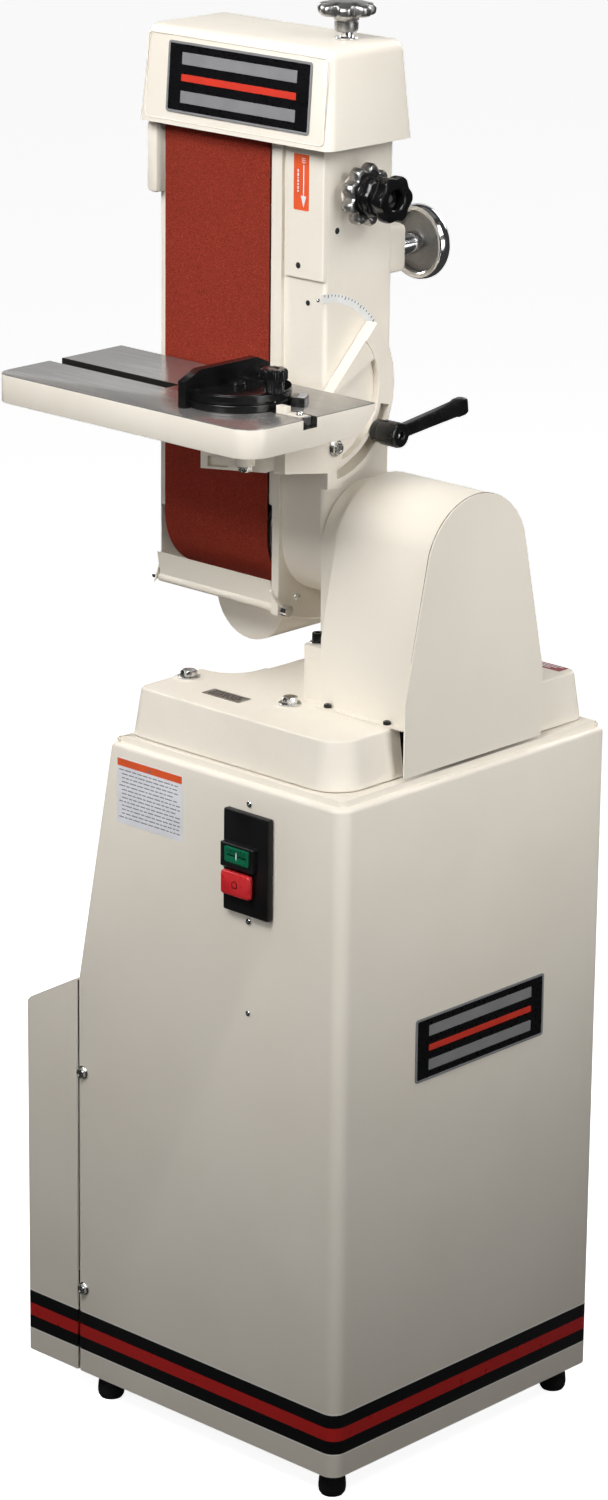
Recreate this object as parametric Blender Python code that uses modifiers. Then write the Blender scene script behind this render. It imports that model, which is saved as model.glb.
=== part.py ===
"""Belt sander for 152 mm belts on a closed stand, with a tilting head and a tilting table.

Metres, +Z up, +X to the machine's right, +Y to its back. Places are measured from the lower front
right corner of the stand's cabinet. The empty "machine" carries that corner to its place in the
world, so that the world's origin is on the floor under the middle of the whole machine.
"""

import math

import bmesh
import bpy
from mathutils import Euler, Matrix, Vector

# Driving dimensions
GAP = 0.0003
FOOT_H = 0.031
BELT_W = 0.1524
BELT_LOOP = 1.2192
BELT_T = 0.001

CABINET_W, CABINET_D, CABINET_H = 0.3918, 0.4158, 0.7500
CABINET_TOP_LEFT = -0.3378
SHOULDER_Z = 0.467
SHEET = 0.002
STEP_H = 0.0065
SIDE_COVER_LEFT = -0.4708
BADGE_T = 0.0012

CAST_TOP = 0.8100
CAST_BOTTOM = CABINET_H + STEP_H + GAP
CAST_RIGHT, CAST_LEFT, CAST_FRONT, CAST_BACK = -0.029, -0.322, 0.0235, 0.404
CAST_DRAFT = 0.008
PAD_TOP = 0.8550
PEDESTAL_X, PEDESTAL_Y = (-0.1705, -0.1065), (0.1200, 0.2986)
PEDESTAL_FOOT_TOP = 0.8685
PEDESTAL_R = 0.0670

AXIS_Y, AXIS_Z = 0.2093, 0.9659
DRIVE_R, IDLER_R = 0.0687, 0.0508
BELT_X = (-0.3962, -0.3962 + BELT_W)
BELT_FRONT = AXIS_Y - DRIVE_R
IDLER_Y = BELT_FRONT + IDLER_R
SHAFT_R, AXLE_R = 0.0125, 0.0080

PULLEY_X, PULLEY_W = -0.062, 0.022
MOTOR_Z = 0.250
DRIVEN_R, MOTOR_R = 0.055, 0.036
VBELT_T, VBELT_W = 0.008, 0.010

GUARD_X = (-0.137, -0.008)
GUARD_R, GUARD_SHEET = 0.0786, 0.0016
GUARD_WALL, GUARD_SKIRT = 0.0975, 0.1080
GUARD_BOTTOM = 0.7607

COLUMN_X, COLUMN_Y, COLUMN_Z = (-0.236, -0.168), (0.145, 0.2475), (AXIS_Z, 1.3885)
HUB_R = AXIS_Y - COLUMN_Y[0] - 0.0001
CHEEK_X = (-0.236, -0.226)
COVER_X = (-0.4120, -0.4105)
REAR_Y = 0.290
SPIGOT_R, BEARING_R = 0.034, 0.0260
FLAP_Y, FLAP_Z = 0.147, 0.889

TOP_COVER_Z = (1.3911, 1.4935)
TOP_COVER_X, TOP_COVER_Y = (-0.420, -0.1432), (0.1205, 0.2520)
TOP_COVER_DRAFT = 0.0075
SCREW_X = -0.187
TRACK_Y, TRACK_Z = 0.186, 1.339
WHEEL_X, WHEEL_Z = -0.188, 1.268

TABLE_X, TABLE_Y, TABLE_Z = (-0.4600, -0.0880), (-0.0485, 0.1375), (1.1082, 1.1392)
PIVOT = (BELT_FRONT, 1.1340)
SLOT_Y, SLOT_W, SLOT_DEPTH = 0.0395, 0.0195, 0.0105
SECTOR_R, SECTOR_SLOT_R, SECTOR_INNER_R = 0.095, 0.0835, 0.072
SECTOR_X = (-0.1675, -0.1520)
STUD = (0.2093, 1.0867)
STUD_ANGLE = math.degrees(math.atan2(STUD[1] - PIVOT[1], STUD[0] - PIVOT[0]))
MITER_X, MITER_R = -0.1905, 0.0565
KNOB_X = -0.1390

X_MIDDLE = (SIDE_COVER_LEFT + GAP + BADGE_T) / 2
Y_MIDDLE = (TABLE_Y[0] + CABINET_D) / 2


def span_height():
    """Height of the upper drum over the lower one that makes the abrasive belt its nominal length."""
    rise = BELT_LOOP / 3
    for _ in range(20):
        wrap = math.atan2(rise, DRIVE_R - IDLER_R)
        rise = (BELT_LOOP - (2 * math.pi - 2 * wrap) * DRIVE_R - 2 * wrap * IDLER_R) / 2
    return rise


IDLER_Z = AXIS_Z + span_height()

# Turns that lay a shape's own axes along the machine's
UPRIGHT = (0, 0, 0)
ALONG_X = (math.pi / 2, 0, math.pi / 2)
ALONG_Y = (math.pi / 2, 0, 0)
FACING_RIGHT = (0, math.pi / 2, 0)
FACING_FRONT = (math.pi / 2, 0, 0)
FACING_BACK = (-math.pi / 2, 0, 0)
FACING_DOWN = (math.pi, 0, 0)

for old in list(bpy.data.objects):
    bpy.data.objects.remove(old, do_unlink=True)

parts = bpy.data.collections.new("belt_sander")
cutters = bpy.data.collections.new("cutters")
for collection in (parts, cutters):
    bpy.context.scene.collection.children.link(collection)
cutters.hide_render = True

corner = {}


# Materials
def material(name, colour, roughness, metallic=0.0):
    made = bpy.data.materials.new(name)
    made.use_nodes = True
    shader = made.node_tree.nodes["Principled BSDF"]
    shader.inputs["Base Color"].default_value = (*colour, 1)
    shader.inputs["Roughness"].default_value = roughness
    shader.inputs["Metallic"].default_value = metallic
    made.diffuse_color = (*colour, 1)
    return made


CREAM = material("cream_paint", (0.78, 0.73, 0.64), 0.38)
BLACK = material("black_plastic", (0.015, 0.015, 0.016), 0.4)
RUBBER = material("black_rubber", (0.02, 0.02, 0.02), 0.7)
CHROME = material("chrome", (0.75, 0.75, 0.74), 0.12, 1.0)
STEEL = material("bright_steel", (0.55, 0.55, 0.54), 0.32, 1.0)
GROUND = material("ground_iron", (0.36, 0.35, 0.34), 0.36, 1.0)
IRON = material("cast_iron", (0.17, 0.17, 0.16), 0.6, 0.8)
ALUMINIUM = material("aluminium", (0.62, 0.61, 0.60), 0.34, 1.0)
ABRASIVE = material("abrasive", (0.33, 0.055, 0.025), 0.85)
GREEN = material("green_button", (0.005, 0.14, 0.06), 0.35)
RED = material("red_button", (0.62, 0.015, 0.02), 0.35)
MOTOR_GREY = material("motor_paint", (0.10, 0.11, 0.12), 0.5)
BADGE = material("badge_enamel", (0.02, 0.02, 0.02), 0.3)


# Placing
def empty(name, parent, at):
    """An empty at a place measured from the cabinet's corner. Moving pieces hang from one."""
    made = bpy.data.objects.new(name, None)
    parts.objects.link(made)
    corner[name] = Vector(at)
    if parent:
        made.parent = parent
        made.location = Vector(at) - corner[parent.name]
    else:
        made.location = (-X_MIDDLE, -Y_MIDDLE, FOOT_H)
    return made


def put(name, mesh, parent, at, paint=None, turn=UPRIGHT):
    """A solid at a place measured from the cabinet's corner. A solid without paint is a cutter."""
    made = bpy.data.objects.new(name, mesh)
    (parts if paint else cutters).objects.link(made)
    made.parent = parent
    made.location = Vector(at) - corner[parent.name]
    made.rotation_euler = turn
    if paint:
        if not mesh.materials:
            mesh.materials.append(paint)
        mesh.shade_smooth()
        mesh.set_sharp_from_angle(angle=math.radians(35))
    else:
        made.display_type = "WIRE"
        made.hide_render = True
    return made


def boolean(target, other, operation):
    step = target.modifiers.new(other.name, "BOOLEAN")
    step.operation = operation
    step.solver = "EXACT"
    step.object = other


def cut(target, *others):
    for other in others:
        boolean(target, other, "DIFFERENCE")


def fuse(target, *others):
    for other in others:
        boolean(target, other, "UNION")


def settled(target):
    """The mesh that an object's modifiers make."""
    bpy.context.view_layer.update()
    graph = bpy.context.evaluated_depsgraph_get()
    return bpy.data.meshes.new_from_object(target.evaluated_get(graph))


# Shapes
def finish(bm):
    mesh = bpy.data.meshes.new("shape")
    bm.to_mesh(mesh)
    bm.free()
    return mesh


def moved(mesh, shift, turn=UPRIGHT):
    mesh.transform(Matrix.Translation(shift) @ Euler(turn).to_matrix().to_4x4())
    return mesh


def box(size, bevel=0.0, segments=2, chosen=None):
    """A box about its own centre. chosen says which edges to round, and None rounds them all."""
    bm = bmesh.new()
    bmesh.ops.create_cube(bm, size=1)
    bmesh.ops.scale(bm, vec=size, verts=bm.verts)
    if bevel:
        edges = [edge for edge in bm.edges if chosen is None or chosen(edge)]
        bmesh.ops.bevel(bm, geom=edges, offset=bevel, segments=segments, profile=0.5, affect="EDGES")
    return finish(bm)


def runs_up(edge):
    ends = [vert.co for vert in edge.verts]
    steep = abs(ends[0].z - ends[1].z) > 4 * abs(ends[0].x - ends[1].x)
    return steep and abs(ends[0].y - ends[1].y) < 1e-4


def block(name, x, y, z, parent, paint=None, bevel=0.0, segments=2, chosen=None):
    """A box between two corners, given as (low, high) along each axis."""
    size = (x[1] - x[0], y[1] - y[0], z[1] - z[0])
    middle = (sum(x) / 2, sum(y) / 2, sum(z) / 2)
    return put(name, box(size, bevel, segments, chosen), parent, middle, paint)


def cylinder(radius, length, sides=24, top_radius=None):
    """A cylinder or cone along Z about its own centre."""
    bm = bmesh.new()
    top = radius if top_radius is None else top_radius
    bmesh.ops.create_cone(bm, cap_ends=True, segments=sides, radius1=radius, radius2=top, depth=length)
    return finish(bm)


def rod(name, radius, x, y, z, parent, paint=None, sides=24):
    """A cylinder along X, between the two values of x."""
    return put(name, cylinder(radius, x[1] - x[0], sides), parent, (sum(x) / 2, y, z), paint, FACING_RIGHT)


def pin(name, radius, x, y, z, parent, paint=None, sides=16):
    """A cylinder along Z, between the two values of z."""
    return put(name, cylinder(radius, z[1] - z[0], sides), parent, (x, y, sum(z) / 2), paint)


def bar(name, radius, x, y, z, parent, paint=None, sides=16):
    """A cylinder along Y, between the two values of y."""
    return put(name, cylinder(radius, y[1] - y[0], sides), parent, (x, sum(y) / 2, z), paint, FACING_BACK)


def arc(middle, radius, start, end, count):
    """Points of an arc, from start to end in degrees."""
    turns = [math.radians(start + (end - start) * i / (count - 1)) for i in range(count)]
    return [(middle[0] + radius * math.cos(t), middle[1] + radius * math.sin(t)) for t in turns]


def plate(outline, depth, holes=()):
    """A flat plate with the outline in its XY plane, centred on its depth along Z."""
    curve = bpy.data.curves.new("outline", "CURVE")
    curve.dimensions = "2D"
    curve.fill_mode = "BOTH"
    curve.extrude = depth / 2
    for loop in (outline, *holes):
        spline = curve.splines.new("POLY")
        spline.points.add(len(loop) - 1)
        for point, (x, y) in zip(spline.points, loop):
            point.co = (x, y, 0, 1)
        spline.use_cyclic_u = True
    guide = bpy.data.objects.new("outline", curve)
    bpy.context.scene.collection.objects.link(guide)
    mesh = settled(guide)
    bpy.data.objects.remove(guide)
    bm = bmesh.new()
    bm.from_mesh(mesh)
    bmesh.ops.remove_doubles(bm, verts=bm.verts, dist=1e-5)
    bmesh.ops.dissolve_limit(bm, angle_limit=math.radians(0.5), verts=bm.verts, edges=bm.edges)
    bmesh.ops.recalc_face_normals(bm, faces=bm.faces)
    return finish(bm)


def side_plate(name, outline, x, parent, paint=None, holes=()):
    """A plate whose outline is given in Y and Z, between the two values of x."""
    mesh = moved(plate(outline, x[1] - x[0], holes), (0, 0, 0), ALONG_X)
    origin = (sum(x) / 2, corner[parent.name].y, corner[parent.name].z)
    mesh.transform(Matrix.Translation((0, -origin[1], -origin[2])))
    return put(name, mesh, parent, origin, paint)


def turned(name, profile, parent, at, paint=None, turn=UPRIGHT, steps=24, closed=False):
    """A turned solid. The profile's (radius, height) points run down its outer side."""
    bm = bmesh.new()
    verts = [bm.verts.new((radius, 0, height)) for radius, height in profile]
    pairs = list(zip(verts, verts[1:]))
    if closed:
        pairs.append((verts[-1], verts[0]))
    for pair in pairs:
        bm.edges.new(pair)
    made = put(name, finish(bm), parent, at, paint, turn)
    screw = made.modifiers.new("turn", "SCREW")
    screw.axis = "Z"
    screw.steps = steps
    screw.render_steps = steps
    screw.use_smooth_shade = True
    screw.use_merge_vertices = True
    screw.merge_threshold = 1e-5
    return made


def lobed(radius, lobes, depth, per_lobe=5):
    """A star outline with round lobes and narrow hollows between them."""
    points = []
    for i in range(lobes * per_lobe):
        turn = 2 * math.pi * i / (lobes * per_lobe)
        reach = radius - depth * (0.5 - 0.5 * math.cos(lobes * turn)) ** 2
        points.append((reach * math.cos(turn), reach * math.sin(turn)))
    return points


def welded(*meshes):
    """One closed mesh from closed meshes that overlap."""
    pieces = [bpy.data.objects.new("piece", mesh) for mesh in meshes]
    for piece in pieces:
        bpy.context.scene.collection.objects.link(piece)
    fuse(pieces[0], *pieces[1:])
    mesh = settled(pieces[0])
    for piece in pieces:
        bpy.data.objects.remove(piece)
    return mesh


def screw_mesh(head_r, head_h, head_sides, shank_r, shank_l, washer_r=0.0, washer_h=0.0):
    """A screw whose seat is its origin: head over any washer above it, shank below."""
    overlap = head_h / 2
    shank = moved(cylinder(shank_r, shank_l + overlap, 12), (0, 0, (overlap - shank_l) / 2))
    head = moved(cylinder(head_r, head_h, head_sides), (0, 0, washer_h + head_h / 2 - GAP))
    if not washer_r:
        return welded(head, shank)
    return welded(head, moved(cylinder(washer_r, washer_h, 16), (0, 0, washer_h / 2)), shank)


def drill(target, name, radius, at, length, turn=UPRIGHT, sides=12):
    """A round hole through target, centred on a place."""
    cut(target, put(name, cylinder(radius, length, sides), machine, at, None, turn))


machine = empty("machine", None, (0, 0, 0))
start_slide = empty("start_slide", machine, (-0.1339, -0.0090, 0.6742))
stop_slide = empty("stop_slide", machine, (-0.1342, -0.0090, 0.6434))
drive_line = empty("drive_line", machine, (PULLEY_X, AXIS_Y, AXIS_Z))
motor_line = empty("motor_line", machine, (PULLEY_X, AXIS_Y, MOTOR_Z))
head = empty("head", machine, (COLUMN_X[0], AXIS_Y, AXIS_Z))
carriage_slide = empty("carriage_slide", head, (SCREW_X, IDLER_Y, IDLER_Z))
idler_line = empty("idler_line", carriage_slide, (sum(BELT_X) / 2, IDLER_Y, IDLER_Z))
tension_line = empty("tension_line", head, (SCREW_X, IDLER_Y, TOP_COVER_Z[1]))
tracking_line = empty("tracking_line", head, (COLUMN_X[1], TRACK_Y, TRACK_Z))
handwheel_line = empty("handwheel_line", head, (WHEEL_X, COLUMN_Y[1], WHEEL_Z))
flap_line = empty("flap_line", head, (COVER_X[1], FLAP_Y, FLAP_Z))
lock_line = empty("lock_line", head, (COLUMN_X[1], *STUD))
table_tilt = empty("table_tilt", head, (SECTOR_X[0], *PIVOT))
miter_slide = empty("miter_slide", table_tilt, (MITER_X, SLOT_Y, TABLE_Z[1]))
miter_turn = empty("miter_turn", miter_slide, (MITER_X, SLOT_Y, TABLE_Z[1] + GAP))
miter_knob_line = empty("miter_knob_line", miter_slide, (KNOB_X, SLOT_Y, TABLE_Z[1]))


# Stand
def at_front_right(edge):
    return all(abs(vert.co.x) + abs(vert.co.y) < 1e-4 for vert in edge.verts)


def make_cabinet():
    outline = [
        (0, 0), (0, CABINET_H), (CABINET_TOP_LEFT, CABINET_H), (-CABINET_W + 0.0013, SHOULDER_Z),
        (-CABINET_W, 0),
    ]
    mesh = moved(plate(outline, CABINET_D), (0, CABINET_D / 2, 0), ALONG_Y)
    bm = bmesh.new()
    bm.from_mesh(mesh)
    folds = [edge for edge in bm.edges if runs_up(edge) and not at_front_right(edge)]
    bmesh.ops.bevel(bm, geom=folds, offset=0.006, segments=2, profile=0.5, affect="EDGES")
    corner_edge = [edge for edge in bm.edges if runs_up(edge) and at_front_right(edge)]
    bmesh.ops.bevel(bm, geom=corner_edge, offset=0.016, segments=5, profile=0.5, affect="EDGES")
    bm.normal_update()
    top = [face for face in bm.faces if face.normal.z > 0.99][0]
    rim = list(top.edges)
    bmesh.ops.bevel(bm, geom=rim, offset=0.005, segments=3, profile=0.5, affect="EDGES")
    bm.normal_update()
    top = [face for face in bm.faces if face.normal.z > 0.99 and face.calc_area() > 0.05]
    bmesh.ops.inset_region(bm, faces=top, thickness=0.003)
    bmesh.ops.inset_region(bm, faces=top, thickness=0.0015, depth=STEP_H)
    bm.normal_update()
    bottom = [face for face in bm.faces if face.normal.z < -0.99]
    bmesh.ops.delete(bm, geom=bottom, context="FACES")
    cabinet = put("cabinet", finish(bm), machine, (0, 0, 0), CREAM)
    shell = cabinet.modifiers.new("sheet", "SOLIDIFY")
    shell.thickness = SHEET
    shell.offset = -1
    shell.use_even_offset = True
    left = (-CABINET_W - 0.02, -CABINET_W + 0.02)
    top_z = (CABINET_H - 0.03, CABINET_H + 0.03)
    cut(
        cabinet,
        block("door_opening", left, (0.06, 0.356), (0.06, 0.40), machine),
        block("belt_opening", (-0.084, -0.040), (0.125, 0.294), top_z, machine),
        block("switch_opening", (-0.1510, -0.1055), (-0.02, 0.02), (0.6155, 0.7135), machine),
    )
    return cabinet


def make_side_cover():
    right = -CABINET_W - GAP
    outline = [
        (right, 0), (right, SHOULDER_Z), (-0.4640, 0.4270), (SIDE_COVER_LEFT, 0.4200),
        (SIDE_COVER_LEFT, 0),
    ]
    mesh = moved(plate(outline, CABINET_D), (0, CABINET_D / 2, 0), ALONG_Y)
    bm = bmesh.new()
    bm.from_mesh(mesh)
    left = [edge for edge in bm.edges if runs_up(edge) and edge.verts[0].co.x < SIDE_COVER_LEFT + 0.001]
    bmesh.ops.bevel(bm, geom=left, offset=0.0025, segments=2, profile=0.5, affect="EDGES")
    bm.normal_update()
    open_side = [face for face in bm.faces if face.normal.x > 0.99]
    bmesh.ops.delete(bm, geom=open_side, context="FACES")
    cover = put("side_cover", finish(bm), machine, (0, 0, 0), CREAM)
    shell = cover.modifiers.new("sheet", "SOLIDIFY")
    shell.thickness = SHEET
    shell.offset = -1
    shell.use_even_offset = True


def make_feet():
    profile = [
        (0, -GAP), (0.0118, -GAP), (0.0148, -0.0170), (0.0150, -0.0240), (0.0125, -FOOT_H), (0, -FOOT_H),
    ]
    places = [(x, y) for x in (-0.025, -0.364) for y in (0.025, 0.389)]
    for number, (x, y) in enumerate(places, 1):
        turned(f"foot_{number}", profile, machine, (x, y, 0), RUBBER, steps=16)


def make_stand_screws(cabinet):
    bolt = screw_mesh(0.0060, 0.0045, 6, 0.003, 0.012, 0.0075, 0.0012)
    for name, z in (("cover_bolt_upper", 0.3603), ("cover_bolt_lower", 0.1025)):
        put(name, bolt, machine, (-0.3808, -GAP, z), CHROME, FACING_FRONT)
        drill(cabinet, name + "_hole", 0.0033, (-0.3808, 0, z), 0.02, FACING_FRONT)
    small = screw_mesh(0.0038, 0.0024, 12, 0.0018, 0.008)
    for name, z in (("switch_screw_upper", 0.7285), ("switch_screw_lower", 0.5995)):
        put(name, small, machine, (-0.1307, -GAP, z), CHROME, FACING_FRONT)
        drill(cabinet, name + "_hole", 0.0021, (-0.1307, 0, z), 0.02, FACING_FRONT)


def make_switch():
    """The plate with its box behind it, and a frame that the start button sits in."""
    plate_x, plate_z = (-0.1605, -0.0957), (0.6088, 0.7203)
    frame_x, frame_z = (-0.1579, -0.1105), (0.6592, 0.6862)
    housing = block("switch_housing", plate_x, (-0.0090, -GAP), plate_z, machine, BLACK, 0.002, 2)
    fuse(
        housing,
        block("switch_frame", frame_x, (-0.0165, -0.006), frame_z, machine, None, 0.0012, 1),
        block("switch_box", (-0.1500, -0.1065), (-0.002, 0.045), (0.6165, 0.7125), machine),
    )
    cut(
        housing,
        block("start_pocket", (-0.1521, -0.1157), (-0.03, 0.006), (0.6647, 0.6836), machine),
        block("stop_pocket", (-0.1506, -0.1174), (-0.03, 0.006), (0.6334, 0.6536), machine),
    )
    start_x, start_z = (-0.1515, -0.1163), (0.6653, 0.6830)
    stop_x, stop_z = (-0.1547, -0.1137), (0.6305, 0.6562)
    block("start_button", start_x, (-0.0172, -0.0040), start_z, start_slide, GREEN, 0.0008, 1)
    stop = block("stop_button", stop_x, (-0.0190, -0.0125), stop_z, stop_slide, RED, 0.002)
    fuse(stop, block("stop_stem", (-0.1500, -0.1180), (-0.015, -0.0040), (0.6340, 0.6530), stop_slide))


def make_side_badge():
    x, y, z = (GAP, GAP + BADGE_T), (0.1175, 0.3235), (0.4205, 0.4920)
    block("side_badge", x, y, z, machine, BADGE, 0.0004, 1)


# Motor and drive
def make_motor():
    y, z = AXIS_Y, MOTOR_Z
    motor = rod("motor", 0.075, (-0.335, -0.145), y, z, machine, MOTOR_GREY, 32)
    fuse(
        motor,
        rod("motor_bells", 0.067, (-0.350, -0.130), y, z, machine, None, 32),
        block("motor_base", (-0.305, -0.175), (y - 0.060, y + 0.060), (0.1603, 0.200), machine),
        block("motor_terminals", (-0.290, -0.210), (y - 0.112, y - 0.05), (z - 0.03, z + 0.03), machine),
    )
    drill(motor, "motor_bore", 0.0098, (-0.14, y, z), 0.06, FACING_RIGHT, 24)
    rod("motor_shaft", 0.0095, (-0.165, -0.046), y, z, motor_line, STEEL)


def make_motor_mount():
    inside = (-CABINET_W + SHEET + 2 * GAP, -SHEET - 2 * GAP)
    mount = block("motor_mount", inside, (0.110, 0.310), (0.150, 0.160), machine, MOTOR_GREY)
    for name, y in (("mount_rib_front", 0.115), ("mount_rib_back", 0.305)):
        fuse(mount, block(name, inside, (y - 0.004, y + 0.004), (0.128, 0.155), machine))


def pulley_profile(radius, hub, bore):
    """A pulley with one V groove as a closed ring, whose groove holds the belt at radius."""
    rim, lip, root = radius + 0.003, PULLEY_W / 2, radius - VBELT_T - 0.0012
    mouth = VBELT_W / 2 + 0.0016
    return [
        (rim, lip), (rim, mouth), (root, mouth), (root, -mouth), (rim, -mouth), (rim, -lip),
        (bore, -lip), (bore, hub), (bore + 0.009, hub), (bore + 0.009, lip),
    ]


def make_pulleys():
    turned(
        "motor_pulley", pulley_profile(MOTOR_R, 0.020, 0.0098), motor_line,
        (PULLEY_X, AXIS_Y, MOTOR_Z), IRON, FACING_RIGHT, 18, True,
    )
    turned(
        "driven_pulley", pulley_profile(DRIVEN_R, 0.020, SHAFT_R + GAP), drive_line,
        (PULLEY_X, AXIS_Y, AXIS_Z), IRON, FACING_RIGHT, 24, True,
    )


def around(low, low_r, high, high_r, count):
    """A taut loop around two circles, as points in Y and Z."""
    lean = math.degrees(math.atan2(high[1] - low[1], high[0] - low[0]))
    wrap = math.degrees(math.acos((low_r - high_r) / math.dist(low, high)))
    lower = arc(low, low_r, lean + wrap, lean + 360 - wrap, count)
    return lower + arc(high, high_r, lean - wrap, lean + wrap, count)


def make_v_belt():
    motor, driven = (AXIS_Y, MOTOR_Z), (AXIS_Y, AXIS_Z)
    outer = around(motor, MOTOR_R, driven, DRIVEN_R, 14)
    inner = around(motor, MOTOR_R - VBELT_T, driven, DRIVEN_R - VBELT_T, 14)
    x = (PULLEY_X - VBELT_W / 2, PULLEY_X + VBELT_W / 2)
    side_plate("v_belt", outer, x, machine, RUBBER, [inner])


# Base and pedestal
def rounded(points, count=5):
    """An outline from (x, y, corner radius) points, each corner turned into an arc."""
    outline = []
    for i, (x, y, radius) in enumerate(points):
        here = Vector((x, y))
        before = (Vector(points[i - 1][:2]) - here).normalized()
        after = (Vector(points[(i + 1) % len(points)][:2]) - here).normalized()
        if not radius:
            outline.append((x, y))
            continue
        half = before.angle(after) / 2
        middle = here + (before + after).normalized() * (radius / math.sin(half))
        first = here + before * (radius / math.tan(half)) - middle
        last = here + after * (radius / math.tan(half)) - middle
        turn = first.angle_signed(last)
        for step in range(count):
            angle = -turn * step / (count - 1)
            spoke = Matrix.Rotation(angle, 2) @ first
            outline.append((middle.x + spoke.x, middle.y + spoke.y))
    return outline


def drafted(mesh, draft):
    """Widens the lower face of an upright plate, so that its walls lean in towards the top."""
    bm = bmesh.new()
    bm.from_mesh(mesh)
    bm.normal_update()
    low = min(vert.co.z for vert in bm.verts)
    shifts = {}
    for vert in bm.verts:
        if vert.co.z > low + 1e-5:
            continue
        walls = [face.normal for face in vert.link_faces if abs(face.normal.z) < 0.5]
        total = sum(walls, Vector()).normalized()
        shifts[vert] = total * (draft / max(total.dot(walls[0]), 0.3))
    for vert, shift in shifts.items():
        vert.co += shift
    return finish(bm)


def make_base():
    corners = [
        (CAST_LEFT, CAST_FRONT, 0.014), (CAST_RIGHT, CAST_FRONT, 0.030), (CAST_RIGHT, CAST_BACK, 0.014),
        (-0.2640, CAST_BACK, 0.014), (-0.2770, 0.122, 0.036), (CAST_LEFT, 0.122, 0.006),
    ]
    height = CAST_TOP - CAST_BOTTOM
    mesh = drafted(plate(rounded(corners, 7), height), CAST_DRAFT)
    base = put("base_casting", mesh, machine, (0, 0, CAST_BOTTOM + height / 2), CREAM)
    soften = base.modifiers.new("soften", "BEVEL")
    soften.width = 0.003
    soften.segments = 2
    soften.limit_method = "ANGLE"
    soften.angle_limit = math.radians(50)
    under = (CAST_BOTTOM - 0.01, CAST_TOP - 0.010)
    belt_z = (CAST_BOTTOM - 0.01, CAST_TOP + 0.01)
    fuse(base, block("pad", PEDESTAL_X, PEDESTAL_Y, (0.79, PAD_TOP), machine, None, 0.004, 2, runs_up))
    cut(
        base,
        block("hollow_front", (-0.306, -0.045), (0.038, 0.108), under, machine),
        block("hollow_back", (-0.262, -0.120), (0.107, 0.388), under, machine),
        block("belt_slot", (-0.100, 0.02), (0.1155, 0.3030), belt_z, machine),
        block("port_room", (-0.330, -0.2682), (0.170, 0.420), belt_z, machine),
    )
    return base


def make_base_bolts(base, cabinet):
    reach = CAST_TOP - CABINET_H + STEP_H + 0.012
    bolt = screw_mesh(0.0088, 0.0065, 6, 0.004, reach, 0.0122, 0.0020)
    places = [(-0.3050, 0.0859), (-0.1617, 0.0915), (-0.2400, 0.3600), (-0.0650, 0.3600)]
    for number, (x, y) in enumerate(places, 1):
        put(f"base_bolt_{number}", bolt, machine, (x, y, CAST_TOP + GAP), CHROME)
        drill(base, f"base_hole_{number}", 0.0043, (x, y, CAST_TOP), 0.13)
        drill(cabinet, f"cabinet_hole_{number}", 0.0043, (x, y, CABINET_H), 0.05)


def make_pedestal():
    foot = (PAD_TOP + GAP, PEDESTAL_FOOT_TOP)
    pedestal = block("pedestal", PEDESTAL_X, PEDESTAL_Y, foot, machine, CREAM, 0.003, 2, runs_up)
    sides = [(AXIS_Y - PEDESTAL_R, 0.862), (AXIS_Y + PEDESTAL_R, 0.862)]
    sides += arc((AXIS_Y, AXIS_Z), PEDESTAL_R, 0, 180, 25)
    fuse(
        pedestal,
        side_plate("upright", sides, (-0.1665, -0.1120), machine),
        rod("boss", 0.046, (-0.1200, -0.1085), AXIS_Y, AXIS_Z, machine, None, 32),
        rod("spigot", SPIGOT_R, (-0.2225, -0.150), AXIS_Y, AXIS_Z, machine, None, 32),
    )
    cut(pedestal, rod("bearing_bore", BEARING_R + GAP, (-0.24, -0.09), AXIS_Y, AXIS_Z, machine))
    screw = screw_mesh(0.0060, 0.0100, 16, 0.0035, 0.030, 0.0085, 0.0016)
    for name, y in (("pedestal_screw_front", 0.1330), ("pedestal_screw_back", 0.2860)):
        put(name, screw, machine, (-0.1615, y, PEDESTAL_FOOT_TOP + GAP), BLACK)
        drill(pedestal, name + "_hole", 0.0038, (-0.1615, y, PAD_TOP), 0.08)
        drill(bpy.data.objects["base_casting"], name + "_tap", 0.0038, (-0.1615, y, PAD_TOP), 0.08)
    ring = [(BEARING_R, 0.0075), (BEARING_R, -0.0075), (SHAFT_R + GAP, -0.0075), (SHAFT_R + GAP, 0.0075)]
    for name, x in (("bearing_left", -0.2140), ("bearing_right", -0.1170)):
        turned(name, ring, machine, (x, AXIS_Y, AXIS_Z), STEEL, FACING_RIGHT, 24, True)


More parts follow.
